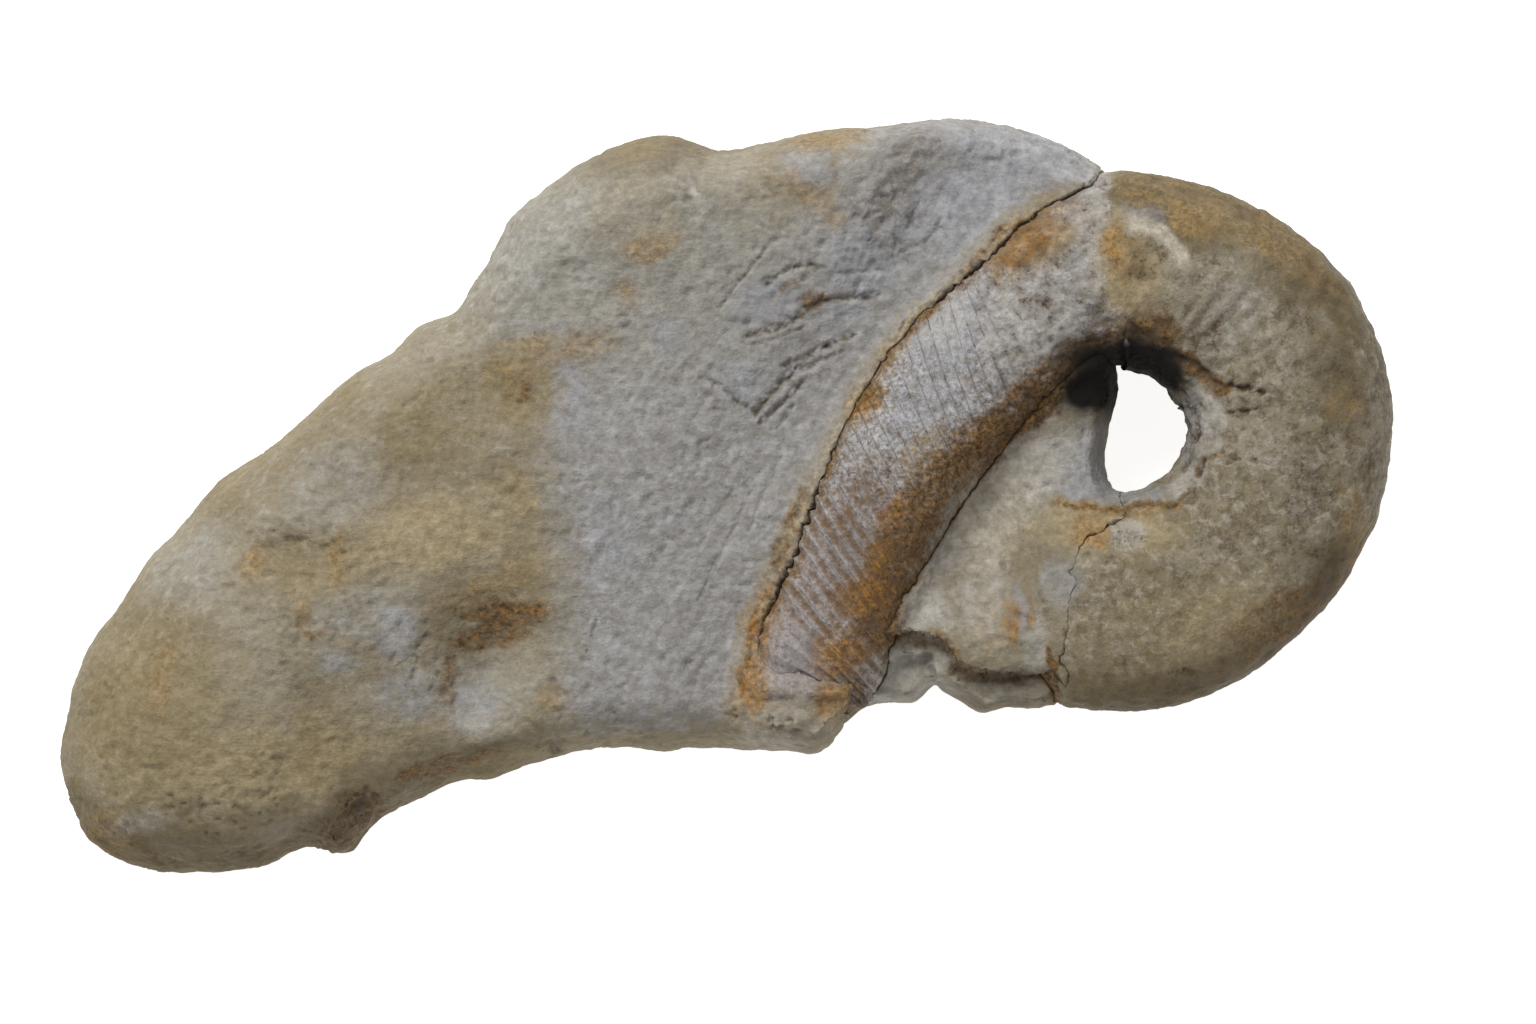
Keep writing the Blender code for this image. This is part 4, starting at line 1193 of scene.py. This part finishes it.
# Streaks: corners, half width, strength
STREAKS = {
    # Umber streaks: painted shade along the lower edges of the lobe and the hook, and a dark khaki stain
    # along the hook's upper rim
    "umber_and_painted_shade": (
        (((-147, -68), (-138, -80), (-126, -85), (-112, -85), (-97, -81), (-88, -81), (-80, -76),
          (-62, -66.5), (-45, -62)), 3.6, 1.0),
        (((141, -14), (130, -29), (116, -39), (98, -45.5), (82, -45.5)), 4.4, 0.8),
        (((91, 73), (107, 67), (123, 60), (132, 53), (141, 38)), 3.0, 0.8),
    ),
    "blue": (
        (((24, 38), (32, 46), (42, 57)), 2.5, 0.6),
    ),
    "warm": (
        (((73.4, 67.3), (63, 62.5), (56.5, 55.3), (46.7, 45.8), (38.9, 40.4), (31.5, 28.7), (27, 21.3),
          (22.5, 12.3), (15.6, -2.4), (10.6, -13.6), (6, -24), (2, -34)), 1.0, 0.35),
        (((-60, -63), (-40, -58), (-15, -56.5), (5, -56.5)), 2.5, 0.8),
        (((-143, -30), (-128, -12), (-108, 8), (-84, 26)), 3.0, 0.5),
    ),
    "tan": (
        (((84, 64), (79, 60), (74, 53)), 2.0, 0.5),
    ),
    "ochre": (
        (((14.6, 71.3), (21.2, 66.8), (25.9, 61.4)), 1.8, 0.45),
        (((12, -22), (9, -30), (7, -38), (5.5, -47)), 4.4, 0.6),
        (((91.4, 70.9), (107, 65.3), (122.9, 58.5), (131.9, 51.8)), 4.0, 0.35),
        (((75, -1.6), (83, -3.2), (93, -3.0), (101, -2.4)), 1.1, 1.0),
        (((63, 17), (56, 10), (49, 2), (45, -6), (41, -16)), 2.0, 0.7),
        (((-50.4, 28.1), (-36.9, 32.6), (-27.9, 34.9)), 3.0, 0.4),
    ),
    "pale": (
        (((79, 22.5), (72, 16.5), (66, 12.5), (62, 9)), 1.2, 1.0),
    ),
    "cream": (
        (((92.4, 60.8), (97, 59.8), (101, 56.6), (103.6, 52.2)), 1.6, 1.2),
    ),
    "orange": (
        (((11, -22), (8.3, -29), (7.2, -36), (6.2, -46)), 2.4, 0.6),
    ),
    "brown": (
        (((97, 35.5), (89.5, 33.5), (82, 31), (74.8, 25.6), (68, 19.6), (60, 14), (53.5, 7),
          (46.8, 1), (42.5, -5.8), (38.5, -14), (36.2, -22), (35, -30)), 4.5, 1.0),
        (((62.5, 59.5), (57.5, 53.3), (48.5, 44.3), (40, 37.9)), 0.8, 0.8),
        (((18, 0), (14.5, -7), (11.3, -14.6)), 1.2, 0.7),
        (((9.5, -22), (6.2, -30), (4.6, -37), (4.2, -44)), 0.6, 0.6),
        (((101.5, 30.6), (105.5, 29.4), (108.9, 26.3), (112.3, 23.8)), 1.9, 1.0),
        (((92.9, -1.6), (101, -1.6), (105.5, 1.6), (107.3, 7.7), (111.6, 9.5)), 0.55, 0.6),
        (((36, -31.5), (40, -30.8), (44, -33), (48, -32), (52, -36)), 1.3, 0.7),
        (((52, -39.5), (60, -41), (73, -41.5)), 1.2, 0.7),
        (((73.2, -35), (74.2, -41), (74.8, -47)), 0.8, 1.0),
        (((77, -2.6), (84, -3.4), (92.9, -2)), 0.5, 0.7),
        (((12.6, 46.3), (16, 48.7), (21, 50)), 0.6, 0.5),
    ),
    # Painted shade on the hole's upper wall, under the shell's overhang
    "painted_hole_shade": (
        (((80.5, 23), (84.6, 28.5), (91.4, 31), (97.5, 29.6), (99.5, 27.5)), 3.4, 1.0),
    ),
}
SPOT_SHARPNESS = 2.0
STAIN_WANDER = 1.3  # how far noise moves a stain's edge
HOLE_SHADE_FROM, HOLE_SHADE_FULL = 4.0, 12.0  # heights in mm: the painted shade begins at the first and is full at the second, so the underside has none


def stain(plan, kind):
    """How strongly one kind of stain lies at each point, from 0 to 1."""
    found = np.zeros(len(plan))
    for x, y, long_radius, short_radius, turn, strength in SPOTS[kind]:
        shape = mounds(plan, [(x, y, long_radius, short_radius, turn, 1.0)])
        found = np.maximum(found, strength * np.clip(shape * SPOT_SHARPNESS, 0, 1))
    for corners, half_width, strength in STREAKS.get(kind, ()):
        shape = np.exp(-(line_gap(plan, corners) / half_width) ** 2)
        found = np.maximum(found, strength * np.clip(shape * SPOT_SHARPNESS, 0, 1))
    return found


for piece in (shell, nodule):
    at = coordinates(piece.data) / MM
    facing_up = smooth_step(-0.2, 0.35, normals(piece.data)[:, 2])
    wander = np.column_stack([clouds(at, 5.0, 4, 30), clouds(at, 5.0, 4, 31)]) * STAIN_WANDER
    for kind in SPOTS:
        share = stain(as_seen(at) + wander, kind)
        # The hole's painted shade fades out slowly, and unlike the stains it also lies on faces that
        # don't look up
        if kind == "painted_hole_shade":  # fades out slowly, as shade does
            share = (1 - (1 - share) ** 2) * smooth_step(HOLE_SHADE_FROM, HOLE_SHADE_FULL, at[:, 2])
        else:
            share = share * facing_up
        paint(piece.data, kind, share)
    print(f"{piece.name}: {len(SPOTS)} kinds of stain painted")

# %% [markdown]
# ## Painted shade in the hollows
#
# Grooves, pits, clefts and the parting between shell and stone get painted shade.
# The same numbers that made those hollows now say how dark each point is. For the shell, a KD
# tree finds how far each of its points is from the stone, because brown clay clings there too.

# %% Masks that follow the form
SHELL_REACH = 24.0  # above this height, stone beside the shell can be seen
PARTING_WIDTH = 0.35
CLAY_WIDTH = 3.0
RIDGE_GAP, RIDGE_WIDTH = 0.85, 0.55
# Where shell and stone have grown together: x, y, two radii, turn, strength
GROWN_TOGETHER = (
    (14, -46, 14, 10, 0, 1.6), (4, -36, 7, 11, 0, 1.4), (76, -14, 9, 17, 0, 1.3),
    (85, -5, 8, 9, 0, 1.5),
)

shell_faces = BVHTree.FromObject(shell, bpy.context.evaluated_depsgraph_get())
at = coordinates(nodule.data) / MM
gap = np.array([shell_faces.find_nearest(Vector(point) * MM)[3] for point in at]) / MM
parted = 1 - np.clip(mounds(at[:, :2], GROWN_TOGETHER), 0, 1)
_, side, place = from_shell(at[:, :2], at[:, 2])
facing_up = smooth_step(-0.2, 0.35, normals(nodule.data)[:, 2])
left_of_shaft = (side > 0) * smooth_step(14, 24, place) * (1 - smooth_step(106, 120, place))
ragged = clouds(at, 1.9, 4, 19)
seen = as_seen(at)
# Painted shade in tool marks, cracks, pits and rough patches, read off the relief that made them
groove = np.clip(-1.1 * marks_height(seen, ragged), 0, 1)
pitted = np.clip(-0.5 * pits_height(seen, ragged), 0, 0.6)
grains = 0.45 * np.clip(mounds(seen, ROUGH_PATCHES), 0, 1)
paint(nodule.data, "cut face", np.clip(inside_by(seen, CUT_FACE) / 16 + 0.5, 0, 1) * facing_up)
# Painted shade along the parting between stone and shell
paint(nodule.data, "parting", np.exp(-(gap / PARTING_WIDTH) ** 2) * parted)
paint(nodule.data, "ridge", np.exp(-((gap - RIDGE_GAP) / RIDGE_WIDTH) ** 2) * left_of_shaft * 0.8)
paint(nodule.data, "hollow", np.maximum(np.maximum(grains, pitted), groove) * facing_up)

beside_shell = at[(gap > 2 * SHELL_GAP) & (at[:, 2] > SHELL_REACH)]
stone_tree = KDTree(len(beside_shell))
for number, point in enumerate(beside_shell):
    stone_tree.insert(point, number)
stone_tree.balance()
at = coordinates(shell.data) / MM
from_stone = np.array([stone_tree.find(point)[2] for point in at])
parted = 1 - np.clip(mounds(at[:, :2], GROWN_TOGETHER), 0, 1)
own, _, upward = growth_of(shell.data)
on_shaft = 1 - 0.8 * smooth_step(105, 125, own)
paint(shell.data, "clay", np.exp(-(from_stone / CLAY_WIDTH) ** 2) * on_shaft * parted * 0.8)
# Painted shade along the parting, on the shell's side
paint(shell.data, "parting", np.exp(-(from_stone / PARTING_WIDTH) ** 2) * on_shaft * parted)
from_skin = np.clip(inside_by(as_seen(at), BARE_SHAFT) / 6 + 0.5, 0, 1)
paint(shell.data, "bare", from_skin * smooth_step(-0.1, 0.3, upward))
# Painted shade where the shell's relief sinks deepest, such as its clefts
paint(shell.data, "hollow", np.clip(-relief_of_shell - 0.45, 0, 1.4) / 1.4)
print(f"parting, ridge, clay and hollows painted; the trough is {gap.min():.2f} mm wide or more")

# %% [markdown]
# ## Materials
#
# Limestone is calcite mud turned to stone: matt, with an index of refraction near 1.58 and no
# metal at all. Its old skin has weathered to khaki, and where it was cut it is grey. Fine grain
# is too small for the mesh, so it is bump, at half a millimetre.

# %% How a stain is laid over a colour
CALCITE_IOR = 1.58
NO_STAIN = (0.03, 0.28)  # below the first value of its mask a stain is gone, above the next full
MOTTLE_EDGE = (0.38, 0.62)


def speckle(tree, size_mm, detail, roughness=0.55, stretch=None):
    """The noise node's outputs, with bumps of this size in mm; stretch turns and squeezes it."""
    place = add(tree, "ShaderNodeTexCoord")["Object"]
    if stretch:
        angle, squeeze = stretch
        place = add(tree, "ShaderNodeMapping",
                    {"Vector": place, "Rotation": (0, 0, -angle), "Scale": (squeeze, 1, 1)},
                    vector_type="POINT")[0]
    return add(tree, "ShaderNodeTexNoise",
               {"Vector": place, "Scale": 1 / (size_mm * MM), "Detail": detail,
                "Roughness": roughness})


def three_fields(tree, size_mm, roughness):
    """Three noise patterns of one size, each with its own bumps."""
    colour = speckle(tree, size_mm, 5, roughness)["Color"]
    return list(add(tree, "ShaderNodeSeparateColor", {0: colour}))[:3]


def mask(tree, name):
    return add(tree, "ShaderNodeAttribute", attribute_name=name)["Fac"]


def ramp(tree, value, low, high, least=0.0, most=1.0):
    """A value's share of the way from low to high, as a number from least to most."""
    return add(tree, "ShaderNodeMapRange", {0: value, 1: low, 2: high, 3: least, 4: most})[0]


def ragged_mask(tree, name, field, spread, soft):
    """A painted mask whose edge noise has broken up. spread is how far the noise moves the edge."""
    painted = mask(tree, name)
    value = calc(tree, "MULTIPLY_ADD", field, spread * 2, painted)
    broken = ramp(tree, value, 0.5 + spread - soft, 0.5 + spread + soft)
    return calc(tree, "MULTIPLY", broken, ramp(tree, painted, *NO_STAIN))


def over(tree, under, upper, share):
    """One colour laid over another by a share from 0 to 1."""
    return add(tree, "ShaderNodeMix", {0: share, 6: under, 7: upper}, data_type="RGBA",
               blend_type="MIX", clamp_factor=True)[2]


def bright_by(tree, colour, value, least, most):
    """The colour, darker where the value is low and lighter where it is high."""
    factor = ramp(tree, value, 0.3, 0.7, least, most)
    return add(tree, "ShaderNodeVectorMath", {0: colour, "Scale": factor}, operation="SCALE")[0]


# Each stain: its mask, its darker and lighter colour, how ragged, how soft, its cover, and gritty
STAINS = (
    ("grey", "#8c8980", "#a19e96", 0.9, 0.55, 0.90, False),
    # umber stands partly for a stain and partly for painted shade on the lower edges
    ("umber_and_painted_shade", "#4d3f21", "#6c5b36", 1.0, 0.60, 0.90, False),
    ("blue", "#8b8c90", "#a5a6aa", 0.9, 0.55, 0.75, False),
    ("warm", "#81724e", "#968765", 0.9, 0.55, 0.75, False),
    ("tan", "#93825f", "#b09f7c", 1.0, 0.55, 0.80, False),
    ("ochre", "#7d643b", "#a2875a", 1.2, 0.55, 0.80, True),
    ("lilac", "#8c8482", "#a7a09f", 1.1, 0.50, 0.70, True),
    ("pale", "#a29d93", "#bfbbb2", 1.1, 0.55, 0.80, False),
    ("brown", "#382a0f", "#8b6533", 1.3, 0.50, 0.92, True),
    ("orange", "#724b14", "#b5802f", 1.3, 0.55, 0.85, True),
    ("cream", "#a59c88", "#c1b8a5", 0.7, 0.45, 0.95, False),
)
FLECK_EDGE = (0.36, 0.64)
# The near-black of the painted shade on the hole's upper wall
HOLE_SHADE_COLOUR = "#130f08"


def lay_stains(tree, colour, fields, flecks):
    """Lays every stain over the colour. Three noise fields take turns to break their edges up."""
    for number, (name, dark, light, spread, soft, most, gritty) in enumerate(STAINS):
        share = ragged_mask(tree, name, fields[number % 3], spread, soft)
        share = calc(tree, "MULTIPLY", share, most)
        mottle = flecks if gritty else ramp(tree, fields[(number + 1) % 3], *MOTTLE_EDGE)
        colour = over(tree, colour, over(tree, linear(dark), linear(light), mottle), share)
    return colour


def finish(tree, colour, bump, roughness, depth_mm):
    relief = add(tree, "ShaderNodeBump", {"Strength": 1.0, "Distance": depth_mm * MM, "Height": bump})
    shader = add(
        tree, "ShaderNodeBsdfPrincipled",
        {"Base Color": colour, "Roughness": roughness, "IOR": CALCITE_IOR,
         "Specular IOR Level": 0.35, "Normal": relief[0]},
    )
    add(tree, "ShaderNodeOutputMaterial", {"Surface": shader[0]})


print("helpers for the two stones are ready")


# %% Weathered limestone
def weathered_limestone():
    """Marly limestone, khaki where weather got at it and grey where the chisel did: dead matt."""
    made, tree = empty_material("weathered marly limestone")
    fields = three_fields(tree, 3.0, 0.68)
    broad = speckle(tree, 24.0, 3, 0.6)["Fac"]
    grain = speckle(tree, 1.3, 4, 0.70)["Fac"]
    flecks = ramp(tree, grain, *FLECK_EDGE)
    skin = over(tree, linear("#81755c"), linear("#958c78"), ramp(tree, broad, *MOTTLE_EDGE))
    skin = over(tree, skin, linear("#a29d91"), ramp(tree, fields[1], 0.54, 0.70, 0.0, 0.6))
    cut = over(tree, linear("#8d8983"), linear("#a2a09d"), ramp(tree, fields[0], *MOTTLE_EDGE))
    colour = over(tree, skin, cut, ragged_mask(tree, "cut face", fields[2], 0.8, 0.35))
    colour = lay_stains(tree, colour, fields, flecks)
    # The light ridge beside the shaft, then painted shade in the grooves and pits, in the parting and on
    # the hole's upper wall
    tan = over(tree, linear("#8f8065"), linear("#ada084"), flecks)
    colour = over(tree, colour, tan, ragged_mask(tree, "ridge", fields[1], 0.9, 0.45))
    hollow_shade = over(tree, linear("#4a4132"), linear("#6d6353"), flecks)
    colour = over(tree, colour, hollow_shade, ragged_mask(tree, "hollow", grain, 1.3, 0.40))
    colour = over(tree, colour, linear("#3c2f1c"), ragged_mask(tree, "parting", fields[0], 1.1, 0.35))
    # Painted shade on the hole's upper wall
    colour = over(tree, colour, linear(HOLE_SHADE_COLOUR), mask(tree, "painted_hole_shade"))
    # Dark mineral specks, a little under half a millimetre wide
    cells = add(tree, "ShaderNodeTexVoronoi",
                {"Vector": add(tree, "ShaderNodeTexCoord")["Object"], "Scale": 1 / (3.6 * MM)})
    speck = ramp(tree, cells["Distance"], 0.04, 0.12, 0.6, 0.0)
    speck = calc(tree, "MULTIPLY", speck, ramp(tree, fields[2], 0.53, 0.60))
    colour = over(tree, colour, linear("#544a39"), speck)
    colour = bright_by(tree, colour, grain, 0.82, 1.17)
    strokes = speckle(tree, 1.6, 3, 0.6, (SHAFT_DIRECTION, 0.2))["Fac"]
    colour = bright_by(tree, colour, strokes, 0.90, 1.09)
    bump = calc(tree, "MULTIPLY_ADD", strokes, 0.5, grain)
    finish(tree, colour, bump, 0.92, 0.45)
    return made


# %% [markdown]
# The shell is a mould of the animal's tube in the same limestone, with a thin brown skin of
# recrystallised shell on the hook. The bare shaft is coarser: grains of calcite stand out
# pale and bluish, with brown between them. Iron has soaked its flanks.


# %% Recrystallised shell
def recrystallised_shell():
    """Brown shell turned to calcite over a granular grey mould: matt, with a faint waxy gleam."""
    made, tree = empty_material("recrystallised ammonite shell")
    fields = three_fields(tree, 2.6, 0.70)
    broad = speckle(tree, 18.0, 3, 0.6)["Fac"]
    grain = speckle(tree, 1.0, 4, 0.72)["Fac"]
    flecks = ramp(tree, grain, *FLECK_EDGE)
    skin = over(tree, linear("#7b7056"), linear("#8d8471"), ramp(tree, broad, *MOTTLE_EDGE))
    skin = over(tree, skin, linear("#a69f90"), ramp(tree, fields[1], 0.50, 0.64, 0.0, 0.8))
    skin = over(tree, skin, linear("#5f5138"), ramp(tree, fields[2], 0.50, 0.62, 0.0, 0.75))
    wrinkled = ramp(tree, mask(tree, "wrinkle shade"), 0.2, 1.0, 0.0, 0.6)
    skin = over(tree, skin, linear("#5c503a"), wrinkled)
    mould = over(tree, linear("#766f67"), linear("#b5b4b5"), flecks)
    mould = over(tree, mould, linear("#827561"), ramp(tree, fields[0], 0.50, 0.62, 0.0, 0.7))
    mould = over(tree, mould, linear("#b3b3b6"), ramp(tree, fields[1], 0.52, 0.66, 0.0, 0.7))
    colour = over(tree, skin, mould, ragged_mask(tree, "bare", fields[2], 0.5, 0.10))
    colour = lay_stains(tree, colour, fields, flecks)
    # Between the ribs the stone is brown, and painted shade darkens the rib valleys, most of it low on
    # the shaft
    shade = ramp(tree, fields[0], 0.36, 0.58, 0.25, 0.95)
    shade = calc(tree, "MULTIPLY", mask(tree, "rib shade"), shade)
    colour = over(tree, colour, linear("#6c5337"), shade)
    clay = over(tree, linear("#533a18"), linear("#86673a"), flecks)
    colour = over(tree, colour, clay, ragged_mask(tree, "clay", fields[1], 1.2, 0.40))
    # Painted shade in the deep relief and along the parting
    colour = over(tree, colour, linear("#4c3d28"), ragged_mask(tree, "hollow", grain, 1.2, 0.35))
    colour = over(tree, colour, linear("#2f2415"), ragged_mask(tree, "parting", fields[2], 1.1, 0.35))
    # Painted shade on the hole's upper wall
    colour = over(tree, colour, linear(HOLE_SHADE_COLOUR), mask(tree, "painted_hole_shade"))
    colour = bright_by(tree, colour, grain, 0.78, 1.22)
    fine = speckle(tree, 0.55, 2)["Fac"]
    bump = calc(tree, "MULTIPLY_ADD", fine, 0.4, grain)
    finish(tree, colour, bump, 0.82, 0.32)
    return made


# %% Give each piece its material
for piece, finish_of in ((shell, recrystallised_shell), (nodule, weathered_limestone)):
    piece.data.materials.clear()
    piece.data.materials.append(finish_of())
    piece.data.polygons.foreach_set("material_index", [0] * len(piece.data.polygons))
    piece.data.shade_smooth()
    triangles = sum(len(face.vertices) - 2 for face in piece.data.polygons)
    print(f"{piece.name}: {triangles} triangles")

# %% [markdown]
# ## Put the pieces on the body
#
# Both skins ride on the one body, and each stands for the plain solid that it was made from.

# %% Ride, replace and measure against the frame
for piece, node, slot in ((shell, "ammonite", "weathered_shell"), (nodule, "matrix", "limestone")):
    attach(piece, "root")
    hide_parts(node)

visual_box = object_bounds()
for axis, a, b, c, d in zip("xyz", cad_box[0], visual_box[0], visual_box[1], cad_box[1]):
    print(f"{axis}: {(b - a) / MM:.2f} mm inside at the low end, {(d - c) / MM:.2f} at the high end")
